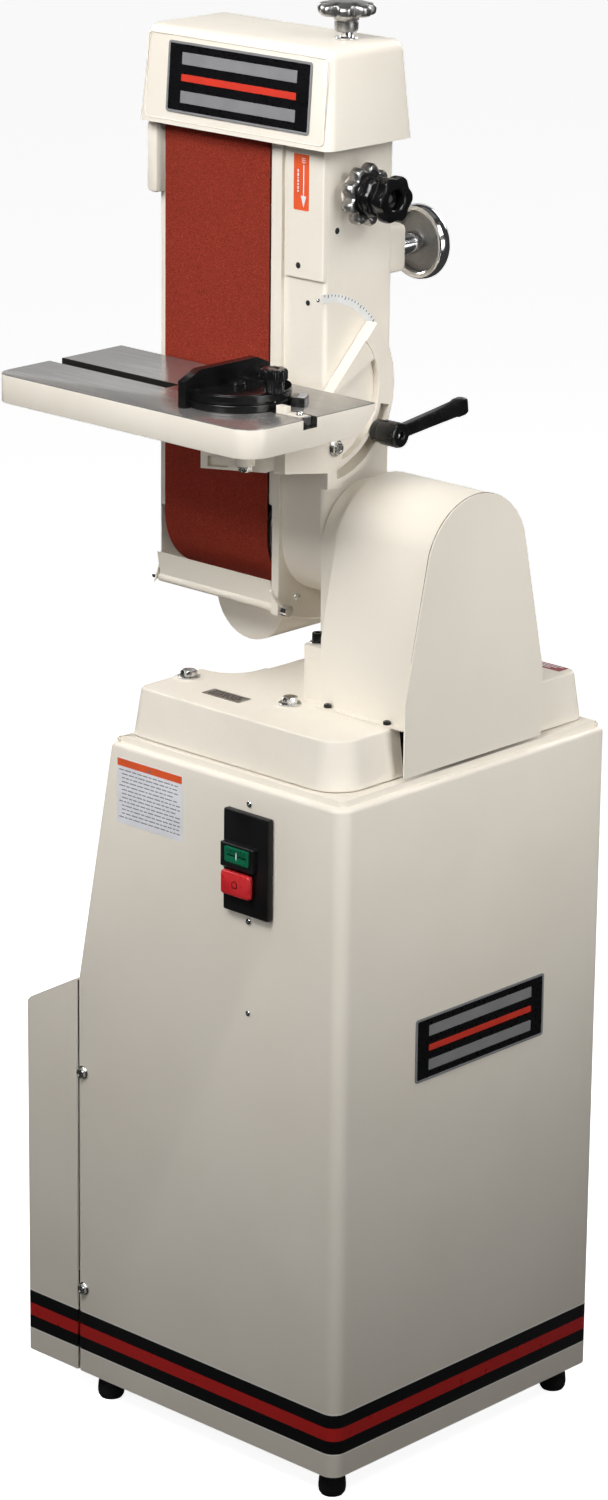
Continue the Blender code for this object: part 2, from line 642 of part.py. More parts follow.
# Pulley guard
def make_guard():
    shoulder = arc((AXIS_Y, AXIS_Z), GUARD_R, 20, 160, 15)
    foot_z = CAST_TOP + GAP
    outline = [(AXIS_Y + GUARD_WALL, foot_z), (AXIS_Y + GUARD_WALL, 0.883), *shoulder]
    outline += [(AXIS_Y - GUARD_WALL, 0.883), (AXIS_Y - GUARD_WALL, foot_z)]
    mesh = moved(plate(outline, GUARD_X[1] - GUARD_X[0]), (sum(GUARD_X) / 2, 0, 0), ALONG_X)
    bm = bmesh.new()
    bm.from_mesh(mesh)
    bm.normal_update()
    gone = [face for face in bm.faces if face.normal.x < -0.99 or face.normal.z < -0.99]
    bmesh.ops.delete(bm, geom=gone, context="FACES")
    guard = put("pulley_guard", finish(bm), machine, (0, 0, 0), CREAM)
    shell = guard.modifiers.new("sheet", "SOLIDIFY")
    shell.thickness = GUARD_SHEET
    shell.offset = -1
    shell.use_even_offset = True
    face = [(AXIS_Y + GUARD_SKIRT, GUARD_BOTTOM), (AXIS_Y + GUARD_SKIRT, 0.840), *shoulder]
    face += [(AXIS_Y - GUARD_SKIRT, 0.840), (AXIS_Y - GUARD_SKIRT, GUARD_BOTTOM)]
    fuse(guard, side_plate("guard_face", face, (GUARD_X[1] - GUARD_SHEET, GUARD_X[1]), machine))
    flange_z = (foot_z, foot_z + GUARD_SHEET)
    for name, side in (("flange_front", -1), ("flange_back", 1)):
        y = sorted((AXIS_Y + side * (GUARD_WALL - GUARD_SHEET / 2), AXIS_Y + side * (GUARD_SKIRT - 0.002)))
        fuse(guard, block(name, (GUARD_X[0] + 0.0015, -0.0130), y, flange_z, machine))
    screw = screw_mesh(0.0040, 0.0036, 16, 0.002, 0.009)
    for number, x in enumerate((-0.1225, -0.0385), 1):
        at = (x, AXIS_Y - GUARD_WALL - 0.0044, foot_z + GUARD_SHEET + GAP)
        put(f"guard_screw_{number}", screw, machine, at, BLACK)
        drill(guard, f"guard_hole_{number}", 0.0023, at, 0.03)
        drill(bpy.data.objects["base_casting"], f"guard_tap_{number}", 0.0023, at, 0.03)


# Sanding head
def cheek_outline(front, back, top):
    """The head's side outline: straight edges over a round belly about the drum's axis."""
    belly = arc((AXIS_Y, AXIS_Z), 0.099, 230, 318, 9)
    down_front = [(front, top), (front, 0.912), (FLAP_Y - 0.008, 0.884)]
    up_back = [(back, 0.930), (back, 1.220), (0.256, top)]
    return down_front + belly + up_back


def make_head_frame():
    frame = block("head_frame", COLUMN_X, COLUMN_Y, COLUMN_Z, head, CREAM, 0.005, 3, runs_up)
    fuse(
        frame,
        side_plate("cheek", cheek_outline(0.140, REAR_Y, 1.388), CHEEK_X, head),
        rod("hub", HUB_R, COLUMN_X, AXIS_Y, AXIS_Z, head, None, 48),
        block("platen_web", (-0.3935, -0.230), (0.1524, 0.166), (1.035, 1.300), head),
        block("front_panel", (-0.2225, -0.1683), (0.1410, 0.150), (1.2505, 1.389), head, None, 0.002, 2),
        block("wheel_boss", (-0.2150, -0.1684), (0.240, 0.2710), (1.2440, 1.2960), head, None, 0.007, 2),
    )
    cut(
        frame,
        block("slide_way", (-0.2275, -0.1765), (0.1535, 0.2395), (1.030, 1.50), head),
        block("axle_slot", (-0.250, -0.220), (IDLER_Y - 0.009, IDLER_Y + 0.009), (1.355, 1.50), head),
        rod("hub_bore", SPIGOT_R + GAP, (-0.25, -0.15), AXIS_Y, AXIS_Z, head, None, 32),
        rod("track_hole", 0.0055, (-0.19, -0.15), TRACK_Y, TRACK_Z, head, None, 16),
        rod("stud_hole", 0.0063, (-0.1745, -0.15), *STUD, head, None, 16),
        rod("flap_hole", 0.0031, (-0.25, -0.21), FLAP_Y, FLAP_Z, head, None, 12),
        bar("wheel_hole", 0.0063, WHEEL_X, (0.230, 0.290), WHEEL_Z, head),
    )
    screw = screw_mesh(0.0055, 0.0125, 16, 0.003, 0.008)
    put("tilt_stop_screw", screw, head, (-0.1960, COLUMN_Y[1] + GAP, 1.1000), BLACK, FACING_BACK)
    drill(frame, "stop_hole", 0.0033, (-0.1960, COLUMN_Y[1], 1.1000), 0.03, FACING_BACK)


def make_platen():
    y = (BELT_FRONT + BELT_T + GAP, 0.1521)
    block("platen", (-0.3935, -0.2465), y, (1.012, 1.320), head, GROUND, 0.002)


def make_belt_cover():
    """The sheet guard that closes the head's left side and back."""
    cover = side_plate("belt_cover", cheek_outline(0.150, REAR_Y, 1.388), COVER_X, head, CREAM)
    rear = [
        (REAR_Y - 0.0015, 0.932), (REAR_Y, 0.932), (REAR_Y, 1.220), (0.2560, 1.388), (0.2544, 1.388),
        (REAR_Y - 0.0015, 1.2197),
    ]
    fuse(
        cover,
        side_plate("cover_back", rear, (COVER_X[0] + 0.0005, CHEEK_X[0] - GAP), head),
        block("cover_lip", (COVER_X[0] + 0.0003, -0.3985), (0.1502, 0.1517), (0.970, 1.3878), head),
        block("cover_box", (-0.4195, -0.4035), (0.1345, 0.2400), (1.3120, 1.3885), head, None, 0.005, 2),
    )
    cut(cover, rod("pin_hole_left", 0.0031, (-0.43, -0.40), FLAP_Y, FLAP_Z, head, None, 12))


def make_top_cover():
    size = [high - low for low, high in (TOP_COVER_X, TOP_COVER_Y, TOP_COVER_Z)]
    middle = [sum(pair) / 2 for pair in (TOP_COVER_X, TOP_COVER_Y, TOP_COVER_Z)]
    bm = bmesh.new()
    bmesh.ops.create_cube(bm, size=1)
    bmesh.ops.scale(bm, vec=size, verts=bm.verts)
    for vert in bm.verts:
        if vert.co.z > 0:
            vert.co.x -= math.copysign(TOP_COVER_DRAFT, vert.co.x)
            vert.co.y -= math.copysign(TOP_COVER_DRAFT, vert.co.y)
    upper = [edge for edge in bm.edges if max(vert.co.z for vert in edge.verts) > 0]
    bmesh.ops.bevel(bm, geom=upper, offset=0.012, segments=4, profile=0.5, affect="EDGES")
    bm.normal_update()
    gone = [face for face in bm.faces if face.normal.z < -0.99]
    bmesh.ops.delete(bm, geom=gone, context="FACES")
    cover = put("top_cover", finish(bm), head, middle, CREAM)
    shell = cover.modifiers.new("wall", "SOLIDIFY")
    shell.thickness = 0.003
    shell.offset = -1
    shell.use_even_offset = True
    fuse(cover, block("cover_post", (-0.1765, -0.1660), (0.165, 0.235), (COLUMN_Z[1] + GAP, 1.4925), head))
    cut(cover, pin("tension_hole", 0.0068, SCREW_X, IDLER_Y, (1.45, 1.52), head))
    lean = math.atan2(TOP_COVER_DRAFT, size[2])
    away = 0.0011
    rise = 1.4420
    face_y = TOP_COVER_Y[0] + (rise - TOP_COVER_Z[0]) * math.tan(lean)
    badge = box((0.2055, 0.0014, 0.0745), 0.0004, 1)
    put("head_badge", badge, head, (-0.2733, face_y - away, rise), BADGE, (-lean, 0, 0))


def drum_profile(radius, bore, wall):
    """A crowned drum as a closed ring: rim, and a web with a hub in its middle."""
    half, web, inner = BELT_W / 2 - 0.0025, 0.008, radius - wall
    return [
        (radius - 0.0007, half), (radius, half / 2), (radius, -half / 2), (radius - 0.0007, -half),
        (inner, -half), (inner, -web), (bore + 0.010, -web), (bore + 0.010, -half), (bore, -half),
        (bore, half), (bore + 0.010, half), (bore + 0.010, web), (inner, web), (inner, half),
    ]


def make_drums():
    middle = sum(BELT_X) / 2
    inside = BELT_T + GAP
    turned(
        "drive_drum", drum_profile(DRIVE_R - inside, SHAFT_R + GAP, 0.006), drive_line,
        (middle, AXIS_Y, AXIS_Z), ALUMINIUM, FACING_RIGHT, 32, True,
    )
    turned(
        "idler_drum", drum_profile(IDLER_R - inside, AXLE_R + GAP, 0.005), idler_line,
        (middle, IDLER_Y, IDLER_Z), ALUMINIUM, FACING_RIGHT, 24, True,
    )
    rod("drive_shaft", SHAFT_R, (-0.3985, -0.040), AXIS_Y, AXIS_Z, drive_line, STEEL)
    rod("idler_axle", AXLE_R, (-0.4020, -0.195), IDLER_Y, IDLER_Z, carriage_slide, STEEL, 16)
    carriage = block(
        "idler_carriage", (-0.2272, -0.1768), (0.1538, 0.2392), (IDLER_Z - 0.025, IDLER_Z + 0.030),
        carriage_slide, IRON, 0.002, 1,
    )
    cut(
        carriage,
        rod("axle_hole", AXLE_R + GAP, (-0.24, -0.1945), IDLER_Y, IDLER_Z, carriage_slide, None, 16),
        pin("nut_hole", 0.0058, SCREW_X, IDLER_Y, (IDLER_Z + 0.012, IDLER_Z + 0.05), carriage_slide),
    )


def make_abrasive_belt():
    low, high = (AXIS_Y, AXIS_Z), (IDLER_Y, IDLER_Z)
    outer = around(low, DRIVE_R, high, IDLER_R, 25)
    inner = around(low, DRIVE_R - BELT_T, high, IDLER_R - BELT_T, 25)
    side_plate("abrasive_belt", outer, BELT_X, head, ABRASIVE, [inner])


def make_flap():
    """The dust flap in front of the lower drum, on its hinge pin."""
    tip, sheet = (0.1405, 0.9190), 0.0015
    outline = [
        tip, (tip[0] + sheet, tip[1]), (FLAP_Y + 0.0012, FLAP_Z + 0.002), (FLAP_Y - 0.0012, FLAP_Z + 0.001),
    ]
    x = (-0.4085, -0.2385)
    inner = (x[0] + 0.0004, x[1] - 0.0004)
    flap = side_plate("dust_flap", outline, inner, flap_line, CREAM)
    gusset = [
        (tip[0] + 0.0003, tip[1] - 0.0005), (tip[0] + 0.013, 0.908), (FLAP_Y + 0.0034, FLAP_Z),
        (FLAP_Y - 0.0005, FLAP_Z),
    ]
    fuse(
        flap,
        side_plate("gusset_left", gusset, (x[0], x[0] + sheet), flap_line),
        side_plate("gusset_right", gusset, (x[1] - sheet, x[1]), flap_line),
        rod("barrel", 0.0045, (x[0] - 0.0004, x[1] + 0.0004), FLAP_Y, FLAP_Z, flap_line, None, 16),
    )
    cut(flap, rod("barrel_bore", 0.0031, (x[0] - 0.01, x[1] + 0.01), FLAP_Y, FLAP_Z, flap_line, None, 12))
    flap_pin = rod("flap_pin", 0.0028, (-0.4200, -0.2200), FLAP_Y, FLAP_Z, head, STEEL, 12)
    fuse(flap_pin, rod("acorn_nut", 0.0062, (-0.2257, -0.2160), FLAP_Y, FLAP_Z, head, None, 12))


def make_dust_port():
    """The suction port under the lower drum, hollow, open to the drum above and at its back end."""
    x, z, radius, wall = -0.320, 0.878, 0.0508, 0.0025
    front, back = 0.195, 0.312
    port = bar("dust_port", radius, x, (front, back), z, head, CREAM, 32)
    tab = block("port_tab", (-0.375, -0.265), (REAR_Y + GAP, REAR_Y + 0.0023), (0.90, 0.965), head)
    fuse(port, tab)
    cut(
        port,
        bar("port_bore", radius - wall, x, (front + wall, back + 0.02), z, head, None, 32),
        rod("drum_room", DRIVE_R + 0.005, (-0.41, -0.23), AXIS_Y, AXIS_Z, head, None, 32),
    )


def make_tension_knob():
    base = TOP_COVER_Z[1] + GAP
    star = moved(plate(lobed(0.0305, 7, 0.0075), 0.0130), (0, 0, 1.5245))
    crown = moved(cylinder(0.0225, 0.0030, 24, 0.014), (0, 0, 1.5322))
    hub = moved(cylinder(0.0125, 0.0160), (0, 0, 1.5115))
    collar = moved(cylinder(0.0118, 0.0022), (0, 0, base + 0.0011))
    stem = moved(cylinder(0.0055, 0.1260, 16), (0, 0, IDLER_Z + 0.0150 + 0.0630))
    mesh = moved(welded(star, crown, hub, collar, stem), (0, 0, -TOP_COVER_Z[1]))
    put("tension_knob", mesh, tension_line, (SCREW_X, IDLER_Y, TOP_COVER_Z[1]), ALUMINIUM)


def make_tracking():
    at = (COLUMN_X[1], TRACK_Y, TRACK_Z)
    collar = moved(cylinder(0.0200, 0.0030), (0, 0, 0.0023))
    neck = moved(cylinder(0.0140, 0.0100), (0, 0, 0.0070))
    star = moved(plate(lobed(0.0330, 9, 0.0070), 0.0150), (0, 0, 0.0175))
    stem = moved(cylinder(0.0050, 0.0200, 16), (0, 0, -0.0060))
    mesh = welded(star, neck, collar, stem)
    wheel = put("tracking_wheel", mesh, tracking_line, at, ALUMINIUM, FACING_RIGHT)
    cut(wheel, rod("lock_thread", 0.0045, (at[0] + 0.010, at[0] + 0.06), TRACK_Y, TRACK_Z, head, None, 16))
    flare = moved(cylinder(0.0225, 0.0130, 24, 0.0195), (0, 0, 0.0320))
    waist = moved(cylinder(0.0175, 0.0120), (0, 0, 0.0420))
    cap = moved(plate(lobed(0.0255, 6, 0.0030), 0.0140), (0, 0, 0.0535))
    stud = moved(cylinder(0.0042, 0.0180, 16), (0, 0, 0.0210))
    knob = put("lock_knob", welded(flare, waist, cap, stud), tracking_line, at, BLACK, FACING_RIGHT)
    cut(knob, rod("knob_recess", 0.0105, (at[0] + 0.052, at[0] + 0.08), TRACK_Y, TRACK_Z, head, None, 20))


def make_handwheel():
    """The wheel on the back of the column, dished on its front side."""
    profile = [
        (0, 0.0690), (0.0110, 0.0690), (0.0310, 0.0670), (0.0340, 0.0700), (0.0380, 0.0690),
        (0.0400, 0.0650), (0.0390, 0.0570), (0.0350, 0.0545), (0.0325, 0.0560), (0.0315, 0.0630),
        (0.0120, 0.0610), (0.0120, 0.0250), (0.0060, 0.0250), (0.0060, -0.0040), (0, -0.0040),
    ]
    turned(
        "rear_handwheel", profile, handwheel_line, (WHEEL_X, COLUMN_Y[1], WHEEL_Z), CHROME, FACING_BACK, 28
    )


# Table
def make_table():
    left, right = TABLE_X
    front, back = TABLE_Y
    corners = [(left, front, 0.018), (right, front, 0.028), (right, back, 0.002), (left, back, 0.002)]
    thick = TABLE_Z[1] - TABLE_Z[0]
    mesh = moved(plate(rounded(corners, 7), thick), (0, 0, (TABLE_Z[0] + TABLE_Z[1]) / 2))
    mesh.transform(Matrix.Translation(-corner["table_tilt"]))
    table = put("table", mesh, table_tilt, corner["table_tilt"], GROUND)
    soften = table.modifiers.new("soften", "BEVEL")
    soften.width = 0.0012
    soften.segments = 2
    soften.limit_method = "ANGLE"
    soften.angle_limit = math.radians(50)
    under = [(0.1048, 1.1000), (0.1600, 1.1000), (0.1600, 1.1552)]
    slot_y = (SLOT_Y - SLOT_W / 2, SLOT_Y + SLOT_W / 2)
    slot_z = (TABLE_Z[1] - SLOT_DEPTH, TABLE_Z[1] + 0.02)
    cut(
        table,
        side_plate("back_relief", under, (left - 0.01, right + 0.01), table_tilt),
        block("miter_slot", (left - 0.01, right + 0.01), slot_y, slot_z, table_tilt),
    )


def sector(inner, outer, start, end):
    """A ring sector about the table's pivot, as points in Y and Z."""
    rim = arc(PIVOT, outer, start, end, 13)
    hole = [PIVOT] if inner == 0 else arc(PIVOT, inner, end, start, 13)
    return rim + hole


def make_table_bracket():
    """The bracket under the table, with the slotted sector that swings about the table's pivot."""
    web_x, rim_x = (SECTOR_X[0], -0.1600), (SECTOR_X[0] + 0.0005, SECTOR_X[1])
    bracket = side_plate("table_bracket", sector(0, SECTOR_R, -90, 45), web_x, table_tilt, CREAM)
    top = TABLE_Z[0] - GAP
    yoke = [
        (0.0700, top), (0.1360, top), (0.1560, 1.0800), (0.1560, 1.0345), (0.1345, 1.0355),
        (0.1345, 1.0535), (0.0780, 1.0625), (0.0700, 1.0640),
    ]
    web = [(-0.2375, 0.0340), (-0.1540, 0.0782), (-0.1540, 0.0985), (-0.2375, 0.0543)]
    bottom = 1.0615
    underside = moved(plate(web, top - bottom), (0, 0, (top + bottom) / 2))
    underside.transform(Matrix.Translation(-corner["table_tilt"]))
    pocket = moved(box((0.0230, 0.0130, 0.0110)), (-0.2210, 0.0428, bottom + 0.0080), (0, 0, 0.487))
    pocket.transform(Matrix.Translation(-corner["table_tilt"]))
    seat = (-0.1870, 0.0475, 1.0715)
    clear_of_head = [(0.0400, 1.0347), (0.1600, 1.0347), (0.1600, 1.1547)]
    fuse(
        bracket,
        side_plate("sector_rim", sector(SECTOR_INNER_R, SECTOR_R + 0.0002, -89, 45), rim_x, table_tilt),
        side_plate("sector_arm", sector(0, SECTOR_R - 0.0002, 24, 44.5), (-0.1672, -0.1540), table_tilt),
        side_plate("yoke", yoke, (-0.1671, SECTOR_X[1] + 0.0004), table_tilt),
        put("underside", underside, table_tilt, corner["table_tilt"]),
        block("flange", (-0.2370, -0.1545), (0.0040, 0.1050), (1.0985, top - 0.0001), table_tilt),
        pin("bolt_boss", 0.0105, *seat[:2], (seat[2], 1.1000), table_tilt, None, 20),
    )
    slot = sector(SECTOR_SLOT_R - 0.0066, SECTOR_SLOT_R + 0.0066, STUD_ANGLE - 50, STUD_ANGLE + 20)
    cut(
        bracket,
        side_plate("sector_slot", slot, (SECTOR_X[0] - 0.01, SECTOR_X[1] + 0.01), table_tilt),
        side_plate("head_relief", clear_of_head, (-0.25, SECTOR_X[0]), table_tilt),
        put("pocket", pocket, table_tilt, corner["table_tilt"]),
    )
    bolt = screw_mesh(0.0070, 0.0055, 6, 0.0035, 0.010, 0.0095, 0.0014)
    at = (SECTOR_X[1] + 0.0004 + GAP, 0.1450, 1.0790)
    put("trunnion_bolt", bolt, table_tilt, at, CHROME, FACING_RIGHT)
    drill(bracket, "trunnion_hole", 0.0038, at, 0.03, FACING_RIGHT)
    put("bracket_bolt", bolt, table_tilt, (*seat[:2], seat[2] - GAP), CHROME, FACING_DOWN)
    drill(bracket, "bracket_hole", 0.0038, seat, 0.03)


def make_lock_handle():
    """The ratchet handle whose stud passes through the sector's slot into the column."""
    out = SECTOR_X[1] + 0.0008 - COLUMN_X[1]
    lean = (-math.pi / 2 + 0.12, 0, 0)
    stud = moved(cylinder(0.0060, 0.0400, 16), (0.0150, 0, 0), FACING_RIGHT)
    hub = moved(cylinder(0.0135, 0.0340), (out + 0.0170, 0, 0), FACING_RIGHT)
    arm = moved(moved(cylinder(0.0075, 0.1060, 16, 0.0090), (0, 0, 0.0530)), (out + 0.0240, 0, 0), lean)
    tip = moved(moved(cylinder(0.0088, 0.0080, 16, 0.0050), (0, 0, 0.1090)), (out + 0.0240, 0, 0), lean)
    put("lock_handle", welded(stud, hub, arm, tip), lock_line, (COLUMN_X[1], *STUD), BLACK)


# Miter gauge
def make_miter():
    """The bar in the table's slot, the head that swings on it, and the knob that clamps the head."""
    top, here = TABLE_Z[1], (MITER_X, SLOT_Y)
    low, high = top + GAP, top + 0.0175
    y = (SLOT_Y - SLOT_W / 2 + GAP, SLOT_Y + SLOT_W / 2 - GAP)
    bar_z = (top - SLOT_DEPTH + GAP, top - GAP)
    miter_bar = block("miter_bar", (-0.2850, -0.0950), y, bar_z, miter_slide, STEEL, 0.0006, 1)
    fuse(miter_bar, pin("pivot_pin", 0.0030, *here, (top - 0.005, high - 0.002), miter_slide, None, 12))
    drill(miter_bar, "clamp_hole", 0.0033, (KNOB_X, SLOT_Y, top), 0.0300)
    reach = KNOB_X - MITER_X
    slot = arc(here, reach + 0.0034, -66, 66, 15) + arc(here, reach - 0.0034, 66, -66, 15)
    mesh = moved(plate(arc(here, MITER_R, -104, 104, 27), high - low, [slot]), (0, 0, (low + high) / 2))
    mesh.transform(Matrix.Translation(-corner["miter_turn"]))
    gauge = put("miter_head", mesh, miter_turn, corner["miter_turn"], BLACK)
    front, back, rise = -0.0235, 0.1000, 1.1767
    fence = [(front, low + 0.0001), (back, low + 0.0001), (back, rise), (-0.0010, rise), (front, 1.1670)]
    fuse(
        gauge,
        side_plate("fence", fence, (-0.2135, -0.2035), miter_turn),
        pin("gauge_boss", 0.0080, *here, (low + 0.0002, high + 0.004), miter_turn, None, 20),
    )
    cut(gauge, pin("pivot_hole", 0.0033, *here, (low - 0.01, high - 0.001), miter_turn))
    grip = moved(plate(lobed(0.0142, 8, 0.0026), 0.0130), (0, 0, 0.0368))
    skirt = moved(cylinder(0.0105, 0.0125, 20), (0, 0, 0.0247))
    stem = moved(cylinder(0.0030, 0.0240, 12), (0, 0, 0.0070))
    put("miter_knob", welded(grip, skirt, stem), miter_knob_line, (KNOB_X, SLOT_Y, top), BLACK)


cabinet_shell = make_cabinet()
make_side_cover()
make_feet()
make_stand_screws(cabinet_shell)
make_switch()
make_side_badge()
make_motor()
make_motor_mount()
make_pulleys()
make_v_belt()
casting = make_base()
make_base_bolts(casting, cabinet_shell)
make_pedestal()
make_guard()
make_head_frame()
make_platen()
make_belt_cover()
make_top_cover()
make_drums()
make_abrasive_belt()
make_flap()
make_dust_port()
make_tension_knob()
make_tracking()
make_handwheel()
make_table()
make_table_bracket()
make_lock_handle()
make_miter()
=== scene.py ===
"""Looks, camera and light for the belt sander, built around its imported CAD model.

Metres, +Z up. Places are given from the cabinet's lower front right corner, as in the CAD source,
and CORNER carries them into the frame that the CAD model sits in.
"""

import math
import random

import bmesh
import bpy
from mathutils import Matrix, Vector


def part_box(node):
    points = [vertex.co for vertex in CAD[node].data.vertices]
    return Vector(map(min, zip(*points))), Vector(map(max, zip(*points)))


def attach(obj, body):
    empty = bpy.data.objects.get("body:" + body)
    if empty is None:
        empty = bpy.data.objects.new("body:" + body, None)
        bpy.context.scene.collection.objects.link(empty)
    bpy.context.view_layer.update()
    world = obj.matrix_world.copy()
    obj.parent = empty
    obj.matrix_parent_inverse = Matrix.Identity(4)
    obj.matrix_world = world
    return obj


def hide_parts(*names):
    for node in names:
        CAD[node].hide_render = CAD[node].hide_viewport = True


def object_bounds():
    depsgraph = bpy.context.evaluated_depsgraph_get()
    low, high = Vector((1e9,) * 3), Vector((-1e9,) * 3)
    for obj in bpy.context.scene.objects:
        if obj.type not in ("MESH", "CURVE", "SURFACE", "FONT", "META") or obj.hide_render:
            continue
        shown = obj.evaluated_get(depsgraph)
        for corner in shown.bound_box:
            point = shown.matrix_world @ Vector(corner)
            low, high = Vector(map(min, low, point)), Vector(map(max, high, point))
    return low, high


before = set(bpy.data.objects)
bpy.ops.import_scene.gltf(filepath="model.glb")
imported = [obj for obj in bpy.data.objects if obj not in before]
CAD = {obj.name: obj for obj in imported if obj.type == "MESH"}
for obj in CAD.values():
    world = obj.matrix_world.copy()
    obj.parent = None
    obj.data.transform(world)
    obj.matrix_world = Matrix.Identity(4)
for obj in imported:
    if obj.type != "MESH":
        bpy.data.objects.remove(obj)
cad_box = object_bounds()

CORNER = Vector((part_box("cabinet")[1].x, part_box("cabinet")[0].y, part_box("cabinet")[0].z))
STEPS = 48
link = bpy.context.scene.collection.objects.link

Z_AXIS = Matrix.Identity(3)
RIGHTWARD = Matrix(((0, 0, 1), (1, 0, 0), (0, 1, 0)))
BACKWARD = Matrix(((-1, 0, 0), (0, 0, 1), (0, 1, 0)))
FORWARD = Matrix(((1, 0, 0), (0, 0, -1), (0, 1, 0)))
DOWNWARD = Matrix(((1, 0, 0), (0, -1, 0), (0, 0, -1)))

DRUM = 0.2093, 0.9659
PIVOT = 0.1406, 1.134
TABLE_TOP = 1.1392
SLOT_Y, SLOT_W, SLOT_DEPTH = 0.0395, 0.0195, 0.0105
CAST_TOP = 0.81
COLUMN_RIGHT, COLUMN_FRONT, PANEL_FRONT = -0.1681, 0.1449, 0.1409
BADGE_BEVEL = 0.00015
COVER_FRONT, COVER_BOTTOM, COVER_HEIGHT, COVER_DRAFT = 0.1205, 1.3911, 0.1024, 0.0075
GUARD_WALL, GUARD_FOOT, GUARD_KNEE, GUARD_R, GUARD_FACE = 0.0975, 0.811, 0.883, 0.0786, -0.0096


# Materials
class Look:
    """A material being made, with its textures laid from the object's own coordinates."""

    def __init__(self, name, roughness, metallic=0.0, coat=0.0, specular=0.5):
        self.made = bpy.data.materials.new(name)
        self.made.use_nodes = True
        self.tree = self.made.node_tree
        self.shader = self.tree.nodes["Principled BSDF"]
        self.set("Roughness", roughness)
        self.set("Metallic", metallic)
        self.set("Coat Weight", coat)
        self.set("Specular IOR Level", specular)
        self.place = self.add("TexCoord").outputs["Object"]

    def add(self, kind):
        return self.tree.nodes.new("ShaderNode" + kind)

    def set(self, socket, value):
        if isinstance(value, bpy.types.NodeSocket):
            self.tree.links.new(value, self.shader.inputs[socket])
        else:
            self.shader.inputs[socket].default_value = value
        return self

    def feed(self, socket, value):
        if isinstance(value, bpy.types.NodeSocket):
            self.tree.links.new(value, socket)
        elif value is not None:
            socket.default_value = value

    def stretched(self, scale, shift=(0, 0, 0)):
        node = self.add("Mapping")
        self.feed(node.inputs["Vector"], self.place)
        node.inputs["Scale"].default_value = scale
        node.inputs["Location"].default_value = shift
        return node.outputs["Vector"]

    def noise(self, scale, detail=3.0, rough=0.5, vector=None):
        node = self.add("TexNoise")
        self.feed(node.inputs["Vector"], vector or self.place)
        node.inputs["Scale"].default_value = scale
        node.inputs["Detail"].default_value = detail
        node.inputs["Roughness"].default_value = rough
        return node.outputs[0]

    def cells(self, scale, vector=None):
        node = self.add("TexVoronoi")
        self.feed(node.inputs["Vector"], vector or self.place)
        node.inputs["Scale"].default_value = scale
        return node.outputs["Distance"]

    def ranged(self, value, low, high, to_low=0.0, to_high=1.0):
        node = self.add("MapRange")
        self.feed(node.inputs["Value"], value)
        for name, number in (("From Min", low), ("From Max", high), ("To Min", to_low), ("To Max", to_high)):
            node.inputs[name].default_value = number
        return node.outputs["Result"]

    def clouds(self, scale, detail, low=0.0, high=1.0):
        """Noise as soft patches, from low to high."""
        return self.ranged(self.noise(scale, detail), 0.3, 0.7, low, high)

    def maths(self, operation, first, second=None):
        node = self.add("Math")
        node.operation = operation
        self.feed(node.inputs[0], first)
        self.feed(node.inputs[1], second)
        return node.outputs[0]

    def blend(self, factor, first, second):
        node = self.add("Mix")
        node.data_type = "RGBA"
        self.feed(node.inputs["Factor"], factor)
        for socket, value in ((node.inputs[6], first), (node.inputs[7], second)):
            self.feed(socket, value if isinstance(value, bpy.types.NodeSocket) else (*value, 1))
        return node.outputs[2]

    def axis(self, letter):
        node = self.add("SeparateXYZ")
        self.feed(node.inputs[0], self.place)
        return node.outputs[letter]

    def between(self, value, low, high, soft=0.0002):
        """1 where value lies between low and high, falling to 0 over soft."""
        rise = self.ranged(value, low - soft, low + soft)
        fall = self.ranged(value, high - soft, high + soft, 1.0, 0.0)
        return self.maths("MULTIPLY", rise, fall)

    def edges(self, radius=0.0012):
        """1 on sharp corners and 0 on flat or gently curved faces."""
        soft = self.add("Bevel")
        soft.samples = 4
        soft.inputs["Radius"].default_value = radius
        flat = self.add("NewGeometry")
        dot = self.add("VectorMath")
        dot.operation = "DOT_PRODUCT"
        self.feed(dot.inputs[0], soft.outputs["Normal"])
        self.feed(dot.inputs[1], flat.outputs["Normal"])
        return self.ranged(dot.outputs["Value"], 0.985, 0.86)

    def bump(self, height, distance, strength=1.0, under=None):
        node = self.add("Bump")
        self.feed(node.inputs["Height"], height)
        node.inputs["Strength"].default_value = strength
        node.inputs["Distance"].default_value = distance
        if under:
            self.feed(node.inputs["Normal"], under)
        return node.outputs["Normal"]


CREAM_LIGHT, CREAM_DARK, CREAM_WORN_AND_LIT = (0.815, 0.762, 0.672), (0.77, 0.712, 0.618), (0.87, 0.83, 0.76)
STRIPE_LOW, STRIPE_HIGH = 0.0272, 0.0727


